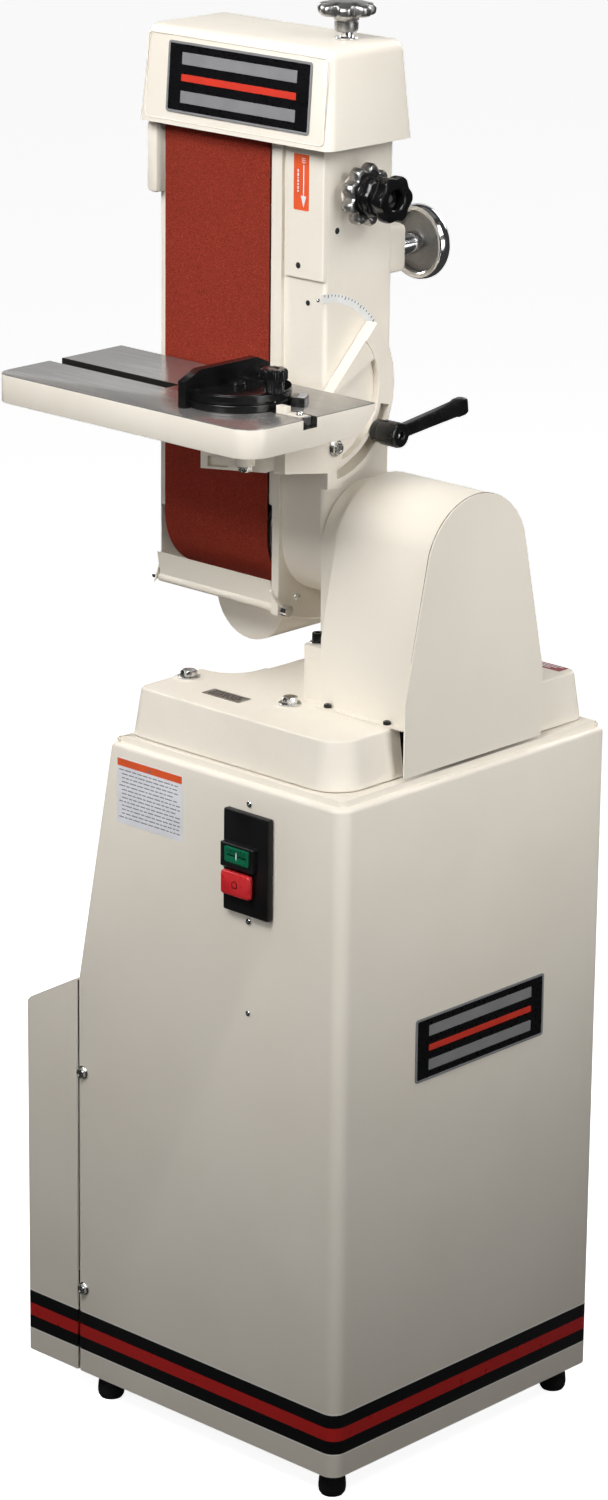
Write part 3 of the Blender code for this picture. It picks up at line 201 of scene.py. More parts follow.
def cream_look(name, peel=0.00006, striped=False):
    """Powder coat: a fine orange peel, a slow change of tone, and paler edges, partly thin paint and partly
    a painted highlight.
    """
    look = Look(name, 0.4, specular=0.35)
    tone = look.clouds(5.0, 3.0)
    fleck = look.ranged(look.noise(900.0, 2.0), 0.62, 0.75, 0.0, 0.35)
    colour = look.blend(look.maths("ADD", tone, fleck), CREAM_LIGHT, CREAM_DARK)
    # Paler edges: partly paint worn thin, partly a painted highlight.
    colour = look.blend(look.maths("MULTIPLY", look.edges(), 0.5), colour, CREAM_WORN_AND_LIT)
    rough = look.clouds(60.0, 3.0, 0.34, 0.46)
    if striped:
        height = look.maths("SUBTRACT", look.axis("Z"), CORNER.z)
        third = (STRIPE_HIGH - STRIPE_LOW) / 3
        paint = look.between(height, STRIPE_LOW, STRIPE_HIGH, 0.00015)
        red = look.between(height, STRIPE_LOW + third, STRIPE_HIGH - third, 0.00015)
        # A pale line just outside each stripe edge is a painted highlight.
        stripe_highlight_low = look.between(height, STRIPE_LOW - 0.0016, STRIPE_LOW, 0.0002)
        stripe_highlight_high = look.between(height, STRIPE_HIGH, STRIPE_HIGH + 0.0016, 0.0002)
        colour = look.blend(look.maths("ADD", stripe_highlight_low, stripe_highlight_high), colour, (0.9, 0.87, 0.8))
        vinyl = look.blend(red, (0.005, 0.005, 0.0055), (0.5, 0.02, 0.018))
        colour = look.blend(paint, colour, vinyl)
        rough = look.maths("ADD", rough, look.maths("MULTIPLY", paint, -0.08))
    look.set("Base Color", colour).set("Roughness", rough)
    fine = look.bump(look.noise(700.0, 3.0, 0.55), peel)
    look.set("Normal", look.bump(look.noise(120.0, 2.0), peel * 1.5, under=fine))
    return look.made


def cast_look(name):
    """Paint over a sand casting, so the skin keeps some of the sand's texture."""
    look = Look(name, 0.42, specular=0.35)
    tone = look.clouds(9.0, 4.0)
    colour = look.blend(tone, CREAM_LIGHT, CREAM_DARK)
    # Paler edges: partly paint worn thin, partly a painted highlight.
    colour = look.blend(look.maths("MULTIPLY", look.edges(), 0.55), colour, CREAM_WORN_AND_LIT)
    look.set("Base Color", colour)
    look.set("Roughness", look.clouds(90.0, 4.0, 0.34, 0.5))
    sand = look.bump(look.noise(420.0, 5.0, 0.6), 0.00022)
    look.set("Normal", look.bump(look.noise(70.0, 3.0), 0.0004, under=sand))
    return look.made


def moulded_look(name, dark, light, rough, grain, depth, coat=0.0, specular=0.3):
    """Moulded plastic or phenolic, with a grain and paler edges, partly rubbed wear and partly a painted
    highlight.
    """
    look = Look(name, rough, coat=coat, specular=specular)
    tone = look.clouds(30.0, 4.0, 0.0, 0.45)
    # Paler edges: partly rubbed wear, partly a painted highlight.
    wear_and_highlight = look.maths("MULTIPLY", look.edges(0.0008), 0.45)
    look.set("Base Color", look.blend(look.maths("ADD", tone, wear_and_highlight), dark, light))
    look.set("Roughness", look.clouds(200.0, 3.0, rough - 0.06, rough + 0.08))
    look.set("Normal", look.bump(look.noise(grain, 3.0, 0.6), depth))
    return look.made


def metal_look(name, dark, light, rough, scale, depth, spread=0.06, vector_scale=(1, 1, 1)):
    """Bare metal. vector_scale stretches the texture into brush, lathe or grinding marks."""
    look = Look(name, rough, metallic=1.0)
    along = look.stretched(vector_scale)
    marks = look.noise(scale, 4.0, 0.6, along)
    tone = look.clouds(14.0, 3.0)
    colour = look.blend(look.maths("MULTIPLY", tone, look.ranged(marks, 0.3, 0.7)), light, dark)
    bright = tuple(min(1.0, c * 1.25) for c in light)
    look.set("Base Color", look.blend(look.maths("MULTIPLY", look.edges(0.0008), 0.7), colour, bright))
    look.set("Roughness", look.ranged(marks, 0.3, 0.7, rough - spread, rough + spread))
    look.set("Normal", look.bump(marks, depth))
    return look.made


def abrasive_look(name):
    """Resin-bonded grit: sharp grains of several sizes, some pale, some dark, with loaded patches."""
    look = Look(name, 0.9, specular=0.12)
    grains = look.cells(620.0)
    fine = look.noise(760.0, 4.0, 0.75)
    patch = look.ranged(look.noise(22.0, 5.0, 0.6), 0.35, 0.7)
    colour = look.blend(look.ranged(grains, 0.15, 0.75), (0.31, 0.038, 0.02), (0.205, 0.022, 0.012))
    colour = look.blend(look.ranged(fine, 0.58, 0.7), colour, (0.46, 0.11, 0.065))
    colour = look.blend(look.ranged(fine, 0.42, 0.3), colour, (0.08, 0.012, 0.008))
    colour = look.blend(look.maths("MULTIPLY", patch, 0.22), colour, (0.2, 0.03, 0.016))
    look.set("Base Color", colour)
    look.set("Roughness", look.ranged(fine, 0.3, 0.7, 0.7, 0.95))
    coarse = look.bump(grains, 0.0004, 0.9)
    look.set("Normal", look.bump(fine, 0.0003, under=coarse))
    return look.made


def table_look(name):
    """Ground iron on top and in the slot, painted everywhere else, with painted shade darkening the inside
    of the slot.
    """
    look = Look(name, 0.4, specular=0.4)
    height = look.maths("SUBTRACT", look.axis("Z"), CORNER.z + TABLE_TOP)
    depth = look.maths("SUBTRACT", look.axis("Y"), CORNER.y + SLOT_Y)
    top = look.ranged(height, -0.001, -0.0007)
    channel = look.between(depth, -SLOT_W / 2 - 0.0004, SLOT_W / 2 + 0.0004, 0.0001)
    deep = look.ranged(height, -SLOT_DEPTH - 0.0006, -SLOT_DEPTH - 0.0002)
    slot_iron_and_shade = look.maths("MULTIPLY", channel, deep)
    bare = look.maths("MAXIMUM", top, slot_iron_and_shade)
    grinding = look.noise(260.0, 4.0, 0.6, look.stretched((0.05, 1.0, 1.0)))
    cloud = look.clouds(11.0, 4.0)
    iron = look.blend(look.ranged(grinding, 0.25, 0.75), (0.47, 0.455, 0.44), (0.36, 0.35, 0.34))
    iron = look.blend(look.maths("MULTIPLY", cloud, 0.35), iron, (0.41, 0.385, 0.355))
    # The inside of the slot, darkened nearly to black, is painted shade.
    iron = look.blend(look.maths("MULTIPLY", slot_iron_and_shade, 0.9), iron, (0.035, 0.033, 0.03))
    paint = look.blend(cloud, CREAM_LIGHT, CREAM_DARK)
    look.set("Base Color", look.blend(bare, paint, iron))
    look.set("Metallic", look.maths("MULTIPLY", bare, 0.75))
    rough = look.ranged(grinding, 0.3, 0.7, 0.17, 0.27)
    look.set("Roughness", rough)
    peel = look.bump(look.noise(600.0, 3.0), 0.00008)
    look.set("Normal", look.bump(look.maths("MULTIPLY", grinding, bare), 0.00008, under=peel))
    return look.made


def flat_print_look(name, colour, rough=0.5):
    """Ink or vinyl, with the slight unevenness of a printed film."""
    look = Look(name, rough)
    darker = tuple(c * 0.86 for c in colour)
    look.set("Base Color", look.blend(look.clouds(40.0, 4.0), colour, darker))
    look.set("Roughness", look.clouds(150.0, 2.0, rough - 0.07, rough + 0.07))
    look.set("Normal", look.bump(look.noise(1200.0, 2.0), 0.00002))
    return look.made


CREAM = cream_look("cream_powder_coat")
STRIPED = cream_look("striped_powder_coat", striped=True)
CAST = cast_look("painted_casting")
ABRASIVE = abrasive_look("abrasive_grit")
TABLE = table_look("ground_and_painted_table")

# name, darkest colour, palest colour, roughness, grain scale, grain depth, coat, specular
BLACK = moulded_look("black_moulding", (0.004, 0.004, 0.0045), (0.016, 0.016, 0.017), 0.36, 1800.0, 0.00004)
GLOSS = moulded_look(
    "black_phenolic", (0.003, 0.003, 0.0035), (0.014, 0.014, 0.015), 0.2, 900.0, 0.00002, 0.2)
BLACK_PAINT = moulded_look(
    "black_painted_iron", (0.004, 0.004, 0.004), (0.018, 0.018, 0.018), 0.19, 500.0, 0.00003, 0.08, 0.4)
RUBBER = moulded_look("black_rubber_foot", (0.01, 0.01, 0.01), (0.035, 0.035, 0.036), 0.7, 1200.0, 0.0001)
GREEN = moulded_look("green_moulding", (0.0, 0.1, 0.045), (0.01, 0.19, 0.09), 0.3, 1200.0, 0.00002, 0.2, 0.5)
RED = moulded_look("red_moulding", (0.52, 0.01, 0.018), (0.75, 0.05, 0.05), 0.3, 1200.0, 0.00002, 0.2, 0.5)
MOTOR = moulded_look("motor_enamel", (0.06, 0.066, 0.072), (0.11, 0.12, 0.13), 0.42, 300.0, 0.0001, 0.0, 0.4)
ENAMEL = moulded_look(
    "badge_enamel_black", (0.003, 0.003, 0.0035), (0.008, 0.008, 0.009), 0.3, 300.0, 0.00002, 0.0, 0.2)

# name, darkest colour, palest colour, roughness, mark scale, mark depth, roughness spread, stretch
CHROME = metal_look("chrome_plate", (0.62, 0.62, 0.62), (0.83, 0.83, 0.84), 0.13, 220.0, 0.00001, 0.04)
STEEL = metal_look(
    "turned_steel", (0.36, 0.35, 0.34), (0.62, 0.61, 0.6), 0.3, 300.0, 0.00004, 0.08, (3, 0.4, 0.4))
GROUND = metal_look(
    "ground_iron_plate", (0.25, 0.24, 0.23), (0.42, 0.41, 0.4), 0.36, 240.0, 0.00006, 0.08, (1, 1, 0.06))
IRON = metal_look("bare_cast_iron", (0.07, 0.07, 0.068), (0.19, 0.185, 0.18), 0.58, 420.0, 0.00025, 0.1)
ZINC = metal_look("zinc_plate", (0.46, 0.46, 0.45), (0.72, 0.72, 0.71), 0.24, 300.0, 0.00003, 0.06)
ALUMINIUM = metal_look(
    "polished_aluminium", (0.24, 0.235, 0.23), (0.46, 0.455, 0.445), 0.34, 260.0, 0.00004, 0.08, (1, 1, 3))
DULL_ALUMINIUM = metal_look(
    "cast_aluminium", (0.24, 0.24, 0.235), (0.42, 0.415, 0.41), 0.5, 500.0, 0.0002, 0.1)
PLATE_METAL = metal_look("etched_plate", (0.36, 0.35, 0.31), (0.52, 0.5, 0.46), 0.42, 300.0, 0.00003)

SILVER_INK = flat_print_look("silver_ink", (0.25, 0.25, 0.255), 0.42)
RED_INK = flat_print_look("red_ink", (0.66, 0.04, 0.02), 0.42)
ORANGE_INK = flat_print_look("orange_ink", (0.84, 0.115, 0.03), 0.45)
WHITE_FILM = flat_print_look("white_film", (0.84, 0.84, 0.87), 0.42)
SCALE_FILM = flat_print_look("scale_film", (0.88, 0.88, 0.86), 0.4)
GREY_INK = flat_print_look("grey_ink", (0.2, 0.2, 0.23), 0.5)
MAROON_INK = flat_print_look("maroon_ink", (0.3, 0.03, 0.035))
DARK_INK = flat_print_look("dark_ink", (0.02, 0.02, 0.02), 0.5)
SEAM = flat_print_look("seam_shadow", (0.16, 0.13, 0.1), 0.7)
HOLE = flat_print_look("hole_shadow", (0.012, 0.012, 0.012), 0.8)


# Carried-over CAD nodes
def soften(solid, width, segments=2, angle=35):
    """Rounds the edges of a solid and leaves its flat faces flat."""
    solid.data.polygons.foreach_set("use_smooth", [True] * len(solid.data.polygons))
    bevel = solid.modifiers.new("rounded", "BEVEL")
    bevel.width = width
    bevel.segments = segments
    bevel.limit_method = "ANGLE"
    bevel.angle_limit = math.radians(angle)
    bevel.miter_outer = "MITER_ARC"
    weigh = solid.modifiers.new("flat_faces", "WEIGHTED_NORMAL")
    weigh.weight = 80


def carried(name, look, width=0.0006, segments=2, angle=35):
    """A CAD node that keeps its shape, with softened edges and a finished material."""
    node = CAD[name]
    mesh = node.data
    if mesh.has_custom_normals:
        with bpy.context.temp_override(object=node, active_object=node, selected_objects=[node]):
            bpy.ops.mesh.customdata_custom_splitnormals_clear()
    weld = node.modifiers.new("weld", "WELD")
    weld.merge_threshold = 1e-5
    merge = node.modifiers.new("flat", "DECIMATE")
    merge.decimate_type = "DISSOLVE"
    merge.angle_limit = math.radians(0.4)
    if width:
        soften(node, width, segments, angle)
    else:
        mesh.polygons.foreach_set("use_smooth", [True] * len(mesh.polygons))
        split = node.modifiers.new("sharp", "EDGE_SPLIT")
        split.split_angle = math.radians(40)
    mesh.materials.clear()
    mesh.materials.append(look)
    return node


for name, look, width in (
    ("cabinet", STRIPED, 0.0), ("side_cover", STRIPED, 0.0008), ("base_casting", CAST, 0.0018),
    ("pedestal", CAST, 0.0016), ("pulley_guard", CREAM, 0.0), ("head_frame", CAST, 0.001),
    ("platen", GROUND, 0.0006), ("belt_cover", CREAM, 0.0), ("top_cover", CREAM, 0.0),
    ("drive_drum", ALUMINIUM, 0.0008), ("idler_drum", ALUMINIUM, 0.0008), ("drive_shaft", STEEL, 0.0008),
    ("idler_axle", STEEL, 0.0006), ("idler_carriage", IRON, 0.0008), ("motor", MOTOR, 0.0015),
    ("motor_mount", MOTOR, 0.001), ("motor_shaft", STEEL, 0.0006), ("motor_pulley", IRON, 0.0006),
    ("driven_pulley", IRON, 0.0006), ("v_belt", RUBBER, 0.0), ("bearing_left", STEEL, 0.0005),
    ("bearing_right", STEEL, 0.0005), ("dust_port", CREAM, 0.0), ("table_bracket", CAST, 0.001),
    ("abrasive_belt", ABRASIVE, 0.0), ("dust_flap", CREAM, 0.0), ("flap_pin", CHROME, 0.0006),
    ("table", TABLE, 0.0), ("switch_housing", BLACK, 0.0008), ("miter_bar", STEEL, 0.0004),
):
    carried(name, look, width)


# Shapes, in the machine's coordinates
def arc(middle, radius, start, end, count):
    """Points of an arc, from start to end in degrees."""
    turns = [math.radians(start + (end - start) * i / (count - 1)) for i in range(count)]
    return [(middle[0] + radius * math.cos(t), middle[1] + radius * math.sin(t)) for t in turns]


def rounded_box(low, high, radius, count=6):
    """An outline between two corners, with its own corners rounded."""
    inner = (low[0] + radius, low[1] + radius), (high[0] - radius, high[1] - radius)
    outline = []
    for (x, y), start in (
        ((inner[1][0], inner[1][1]), 0), ((inner[0][0], inner[1][1]), 90),
        ((inner[0][0], inner[0][1]), 180), ((inner[1][0], inner[0][1]), 270),
    ):
        outline += arc((x, y), radius, start, start + 90, count)
    return outline


def ordered(axis, u, v, w):
    """The point whose first two coordinates lie across an axis and whose third lies along it."""
    return {"x": (w, u, v), "y": (u, w, v), "z": (u, v, w)}[axis]


def loft(rings, closed=False, bands=None):
    """A solid through rings with the same number of points. bands gives each step its material."""
    bm = bmesh.new()
    loops = [[bm.verts.new(point) for point in ring] for ring in rings]
    count = len(rings[0])
    pairs = list(zip(loops, loops[1:]))
    if closed:
        pairs.append((loops[-1], loops[0]))
    else:
        bm.faces.new(loops[0]).material_index = bands[0] if bands else 0
        bm.faces.new(loops[-1]).material_index = bands[-1] if bands else 0
    for step, (first, second) in enumerate(pairs):
        for i in range(count):
            j = (i + 1) % count
            face = bm.faces.new((first[i], first[j], second[j], second[i]))
            face.material_index = bands[step] if bands else 0
    bmesh.ops.recalc_face_normals(bm, faces=bm.faces)
    return bm


def prism(axis, outline, low, high):
    return loft([[ordered(axis, u, v, w) for u, v in outline] for w in (low, high)])


def ring_plate(axis, outer, inner, low, high):
    """A flat frame between two outlines with the same number of points."""
    return loft(
        [[ordered(axis, u, v, w) for u, v in outline] for outline, w in (
            (outer, low), (outer, high), (inner, high), (inner, low),
        )],
        closed=True,
    )


def brick(x, y, z):
    return prism("z", [(x[0], y[0]), (x[1], y[0]), (x[1], y[1]), (x[0], y[1])], *z)


def turned(profile, steps=STEPS, closed=False, reach=None, bands=None):
    """A turned solid about Z. reach(turn, radius, height) may pull a point in from its radius."""
    rings = []
    for radius, height in profile:
        radius = max(radius, 1e-5)
        ring = []
        for i in range(steps):
            turn = 2 * math.pi * i / steps
            here = reach(turn, radius, height) if reach else radius
            ring.append((here * math.cos(turn), here * math.sin(turn), height))
        rings.append(ring)
    return loft(rings, closed, bands)


def lobes(count, radius, depth, sharp=2.0):
    """Pulls a turned rim in between round lobes."""
    def reach(turn, here, height):
        hollow = (0.5 - 0.5 * math.cos(count * turn)) ** sharp
        return here - depth * hollow * (here / radius) ** 4
    return reach


def hexagon(across):
    """Gives a turned rim six flats."""
    def reach(turn, here, height):
        flat = across / 2 / math.cos((turn + math.pi / 6) % (math.pi / 3) - math.pi / 6)
        return min(here, flat)
    return reach


def laid(bm, at, turn=Z_AXIS):
    bmesh.ops.transform(bm, matrix=Matrix.Translation(at) @ turn.to_4x4(), verts=bm.verts)
    return bm


def painted(bm, index):
    for face in bm.faces:
        face.material_index = index
    return bm


def together(first, *others):
    for other in others:
        mesh = bpy.data.meshes.new("part")
        other.to_mesh(mesh)
        other.free()
        first.from_mesh(mesh)
        bpy.data.meshes.remove(mesh)
    return first


def piece(name, bm, body, looks, stands_for=(), width=0.0, segments=2, angle=35):
    """An object from a shape in the machine's coordinates. It moves with a body."""
    mesh = bpy.data.meshes.new(name)
    bm.to_mesh(mesh)
    bm.free()
    mesh.transform(Matrix.Translation(CORNER))
    for look in looks:
        mesh.materials.append(look)
    made = bpy.data.objects.new(name, mesh)
    link(made)
    if width:
        soften(made, width, segments, angle)
    else:
        mesh.shade_smooth()
        mesh.set_sharp_from_angle(angle=math.radians(angle))
    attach(made, body)
    if stands_for:
        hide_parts(*stands_for)
    return made


# Screws
def hex_head(across, height, washer_r=0.0, washer_h=0.0):
    """A hexagon head with its chamfered top and a washer face, over a washer."""
    corner = across / 2 / math.cos(math.pi / 6) + 0.0002
    seat = washer_h
    head = turned([
        (0, seat), (across * 0.47, seat), (across * 0.47, seat + 0.0003), (corner, seat + 0.0003),
        (corner, seat + height * 0.8), (across * 0.46, seat + height), (across * 0.3, seat + height),
        (across * 0.27, seat + height - 0.0003), (0, seat + height - 0.0003),
    ], reach=hexagon(across))
    if not washer_r:
        return head
    plain = turned([
        (across * 0.3, 0), (washer_r - 0.0003, 0), (washer_r, 0.0003), (washer_r, washer_h - 0.0004),
        (washer_r - 0.0005, washer_h), (across * 0.3, washer_h),
    ], closed=True)
    return together(head, plain)


def socket_head(radius, height, socket, chamfer=0.0006):
    """A round head with a hexagon socket. Its wall is knurled."""
    def knurled(turn, here, level):
        if 0.0004 < level < height - chamfer * 0.9 and here > socket:
            return here - 0.00022 * (0.5 + 0.5 * math.cos(turn * 36))
        return hexagon(socket * 1.6)(turn, here, level) if here < socket * 1.05 else here
    return turned([
        (0, 0), (radius - 0.0002, 0), (radius, 0.0005), (radius, height - chamfer * 0.95),
        (radius - chamfer, height), (socket * 1.12, height), (socket, height - 0.0003),
        (socket, height * 0.45), (0, height * 0.4),
    ], steps=108, reach=knurled)


def pan_head(radius, height, cross=0.0):
    """A domed head with a cross recess."""
    def recess(turn, here, level):
        if here > cross or not cross:
            return here
        near = abs((turn + math.pi / 4) % (math.pi / 2) - math.pi / 4)
        return here * (1.0 if near < 0.35 else 0.45)
    dome = [(radius * math.cos(math.radians(a)), height * (0.25 + 0.75 * math.sin(math.radians(a))))
            for a in (0, 20, 40, 55, 68)]
    top = dome[-1][1]
    return turned([
        (0, 0), (radius, 0), *dome, (cross, top + 0.00005), (cross * 0.85, top - height * 0.3),
        (0, top - height * 0.45),
    ], steps=64, reach=recess)


def make_screws():
    for number in (1, 2, 3, 4):
        node = f"base_bolt_{number}"
        low, high = (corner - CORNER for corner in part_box(node))
        at = ((low.x + high.x) / 2, (low.y + high.y) / 2, CAST_TOP + 0.0003)
        spin = Matrix.Rotation(math.radians(17 * number), 3, "Z")
        head = laid(hex_head(0.016, 0.0064, 0.0122, 0.002), at, spin)
        pad = painted(laid(turned([
            (0.0045, -0.0006), (0.0176, -0.0006), (0.0172, -0.0002), (0.016, 0.0001), (0.0045, 0.0001),
        ], closed=True), at), 1)
        both = together(head, pad)
        piece(f"hex_bolt_{number}", both, "stand", [ZINC, CAST], [node])
    for name, z in (("cover_bolt_upper", 0.3603), ("cover_bolt_lower", 0.1025)):
        head = laid(hex_head(0.0108, 0.0044, 0.0075, 0.0012), (-0.3808, -0.0003, z), FORWARD)
        piece(name + "_head", head, "stand", [ZINC], [name])
    for name, z in (("switch_screw_upper", 0.7285), ("switch_screw_lower", 0.5995)):
        head = laid(pan_head(0.0038, 0.0024, 0.0016), (-0.1307, -0.0003, z), FORWARD)
        piece(name + "_head", head, "stand", [CHROME], [name])
    head = laid(pan_head(0.0034, 0.0022, 0.0014), (-0.131, -0.0001, 0.497), FORWARD)
    piece("panel_screw_head", head, "stand", [CHROME])
    for name, y in (("pedestal_screw_front", 0.133), ("pedestal_screw_back", 0.286)):
        at = (-0.1615, y, 0.8688)
        washer = turned(
            [(0.004, 0), (0.0085, 0), (0.0085, 0.0013), (0.0082, 0.0016), (0.004, 0.0016)], closed=True)
        head = laid(socket_head(0.0062, 0.0098, 0.0031), (0, 0, 0.0016))
        both = laid(together(painted(washer, 1), head), at)
        piece(name + "_head", both, "stand", [BLACK_PAINT, CHROME], [name])
    for number in (1, 2):
        low, high = (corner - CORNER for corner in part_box(f"guard_screw_{number}"))
        at = ((low.x + high.x) / 2, (low.y + high.y) / 2, high.z - 0.0036)
        head = laid(socket_head(0.0042, 0.0036, 0.0019, 0.0009), at)
        name = f"guard_screw_{number}"
        piece(name + "_head", head, "stand", [BLACK_PAINT], [name])
    head = laid(socket_head(0.0056, 0.0125, 0.0028), (-0.196, 0.2478, 1.1), BACKWARD)
    piece("tilt_stop_head", head, "head", [BLACK_PAINT], ["tilt_stop_screw"])
    head = laid(hex_head(0.0124, 0.0052, 0.0095, 0.0014), (-0.1513, 0.145, 1.079), RIGHTWARD)
    piece("trunnion_bolt_head", head, "table", [ZINC], ["trunnion_bolt"])
    head = laid(hex_head(0.0124, 0.0052, 0.0095, 0.0014), (-0.187, 0.0475, 1.0712), DOWNWARD)
    piece("bracket_bolt_head", head, "table", [ZINC], ["bracket_bolt"])


def make_feet():
    profile = [
        (0, -0.0003), (0.0116, -0.0003), (0.0126, -0.004), (0.0126, -0.0052), (0.0137, -0.006),
        (0.0141, -0.011), (0.0141, -0.0122), (0.0149, -0.013), (0.0155, -0.02), (0.0155, -0.0235),
        (0.0148, -0.0275), (0.0126, -0.0308), (0.0085, -0.031), (0.0078, -0.03), (0, -0.03),
    ]
    slimming = 0.967
    places = [(x, y) for x in (-0.025, -0.364) for y in (0.025, 0.389)]
    for number, (x, y) in enumerate(places, 1):
        foot = laid(turned([(r * slimming, h) for r, h in profile]), (x, y, 0))
        piece(f"rubber_foot_{number}", foot, "stand", [RUBBER], [f"foot_{number}"])


# Badges and labels
def plain_badge(width, height, depth):
    """A black plate in a silver frame, with three plain bars across it. Its face looks along +Z."""
    half = (width / 2, height / 2)
    outer = rounded_box((-half[0], -half[1]), half, 0.0035)
    rim = rounded_box((-half[0] + 0.0026, -half[1] + 0.0026), (half[0] - 0.0026, half[1] - 0.0026), 0.0016)
    parts = [ring_plate("z", outer, rim, 0, depth)]
    field = rounded_box((-half[0] + 0.0004, -half[1] + 0.0004), (half[0] - 0.0004, half[1] - 0.0004), 0.0032)
    parts.append(painted(prism("z", field, 0.0001, depth * 0.62), 1))
    for rise, tall, look in ((0.27, 0.17, 0), (0.0, 0.1, 2), (-0.27, 0.17, 0)):
        low = (-half[0] * 0.8, height * (rise - tall / 2))
        high = (half[0] * 0.8, height * (rise + tall / 2))
        parts.append(painted(prism("z", rounded_box(low, high, 0.0008, 4), depth * 0.5, depth * 0.86), look))
    return together(*parts)


def make_badges():
    low, high = (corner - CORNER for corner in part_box("side_badge"))
    size = (high.y - low.y, high.z - low.z, high.x - low.x)
    badge = laid(plain_badge(*size), (low.x, (low.y + high.y) / 2, (low.z + high.z) / 2), RIGHTWARD)
    looks = [SILVER_INK, ENAMEL, RED_INK]
    piece("side_badge_plate", badge, "stand", looks, ["side_badge"], BADGE_BEVEL, 1)
    lean = math.atan2(COVER_DRAFT, COVER_HEIGHT)
    facing = Matrix.Rotation(-lean, 3, "X") @ FORWARD
    middle_z = 1.442
    face_y = COVER_FRONT + (middle_z - COVER_BOTTOM) * math.tan(lean)
    badge = laid(plain_badge(0.205, 0.074, 0.0013), (-0.2733, face_y - 0.0004, middle_z), facing)
    piece("head_badge_plate", badge, "head", looks, ["head_badge"], BADGE_BEVEL, 1)
    outer = rounded_box((-0.1285, -0.0465), (0.1285, 0.043), 0.005)
    inner = rounded_box((-0.1273, -0.0453), (0.1273, 0.0418), 0.004)
    bead = laid(ring_plate("z", outer, inner, -0.0004, 0.0006), (-0.279, face_y + 0.0001, middle_z), facing)
    piece("top_cover_bead", bead, "head", [CREAM], (), 0.0003)


def make_labels():
    """Labels without lettering: a notice, an arrow, a plate and a sticker, whose lines are plain dashes."""
    chance = random.Random(11)
    left, right, bottom, top = -0.327, -0.229, 0.663, 0.736
    parts = [prism("y", rounded_box((left, bottom), (right, top), 0.0015), -0.0003, -0.0001)]
    ink = (-0.00036, -0.0002)
    parts.append(painted(brick((left + 0.0008, right - 0.0008), ink, (top - 0.009, top - 0.0008)), 1))
    triangle = [(-0.2805, top - 0.0075), (-0.2755, top - 0.0075), (-0.278, top - 0.003)]
    parts.append(painted(prism("y", triangle, -0.00042, -0.0003), 2))
    for row in range(13):
        z = top - 0.013 - row * 0.0044
        x = left + 0.0035 + (0.004 if row % 4 else 0.0)
        stop = right - 0.0035 - chance.uniform(0.0, 0.022) * (row % 4 == 3)
        while x < stop - 0.003:
            word = min(chance.uniform(0.003, 0.01), stop - x)
            parts.append(painted(brick((x, x + word), ink, (z - 0.0006, z + 0.0006)), 2))
            x += word + 0.0016
    piece("notice_label", together(*parts), "stand", [WHITE_FILM, ORANGE_INK, GREY_INK])

    left, right, bottom, top = -0.21, -0.1886, 1.322, 1.38
    parts = [prism("y", rounded_box((left, bottom), (right, top), 0.001), 0.1407, 0.141)]
    x = left + 0.014
    arrow = [
        (x - 0.0007, top - 0.011), (x - 0.0007, bottom + 0.015), (x - 0.0038, bottom + 0.015),
        (x, bottom + 0.003), (x + 0.0038, bottom + 0.015), (x + 0.0007, bottom + 0.015),
        (x + 0.0007, top - 0.011),
    ]
    ink = (0.14058, 0.1408)
    parts.append(painted(prism("y", arrow, *ink), 1))
    for step in range(3):
        z = top - 0.004 - step * 0.0022
        chevron = [(x - 0.0035, z + 0.001), (x, z - 0.001), (x + 0.0035, z + 0.001), (x, z - 0.0001)]
        parts.append(painted(prism("y", chevron, *ink), 1))
    z = top - 0.016
    while z > bottom + 0.018:
        dash = chance.uniform(0.0012, 0.0034)
        parts.append(painted(brick((left + 0.0052, left + 0.0072), ink, (z - dash, z)), 1))
        z -= dash + 0.0011
    piece("direction_label", together(*parts), "head", [ORANGE_INK, WHITE_FILM])

    at = Vector((-0.229, 0.0653, CAST_TOP))
    parts = [prism("z", rounded_box((-0.027, -0.01), (0.027, 0.01), 0.0012), 0.0, 0.0006)]
    for row in range(4):
        z = 0.0058 - row * 0.0036
        x = -0.0215
        while x < 0.0175:
            word = chance.uniform(0.003, 0.009)
            across = (x, min(x + word, 0.0215))
            parts.append(painted(brick(across, (z - 0.0007, z + 0.0007), (0.0004, 0.00072)), 1))
            x += word + 0.0014
    for x in (-0.025, 0.025):
        parts.append(laid(pan_head(0.0011, 0.0008), (x, 0, 0.0006)))
    piece("data_plate", laid(together(*parts), at), "stand", [PLATE_METAL, DARK_INK])

    outline = rounded_box((-0.082, 0.384), (-0.0405, 0.4), 0.001)
    parts = [prism("z", outline, CAST_TOP, CAST_TOP + 0.0003)]
    ink = (CAST_TOP + 0.0002, CAST_TOP + 0.0004)
    for row in range(3):
        y = 0.3962 - row * 0.004
        parts.append(painted(brick((-0.0785, -0.0445 - 0.006 * row), (y - 0.0008, y + 0.0008), ink), 1))
    piece("casting_label", together(*parts), "stand", [MAROON_INK, WHITE_FILM])


def make_scale():
    """The tilt scale on the column, marked each 3 degrees, with its two screws."""
    face = -0.168
    inner, outer = 0.0952, 0.1042
    outline = arc(PIVOT, outer, 38, 91, 24) + arc(PIVOT, inner, 91, 38, 24)
    parts = [prism("x", outline, face - 0.0001, face + 0.00022)]
    for step in range(17):
        angle = 40 + 3 * step
        low = outer - (0.0042 if step % 5 == 0 else 0.0026)
        start, stop = angle - 0.32, angle + 0.32
        tick = arc(PIVOT, outer - 0.0006, start, stop, 2) + arc(PIVOT, low, stop, start, 2)
        parts.append(painted(prism("x", tick, face + 0.0001, face + 0.0003), 1))
    for angle in (35.5, 93.5):
        y, z = arc(PIVOT, 0.0995, angle, angle, 2)[0]
        parts.append(painted(laid(pan_head(0.0022, 0.001, 0.0009), (face - 0.0001, y, z), RIGHTWARD), 2))
    piece("tilt_scale", together(*parts), "head", [SCALE_FILM, DARK_INK, CHROME])


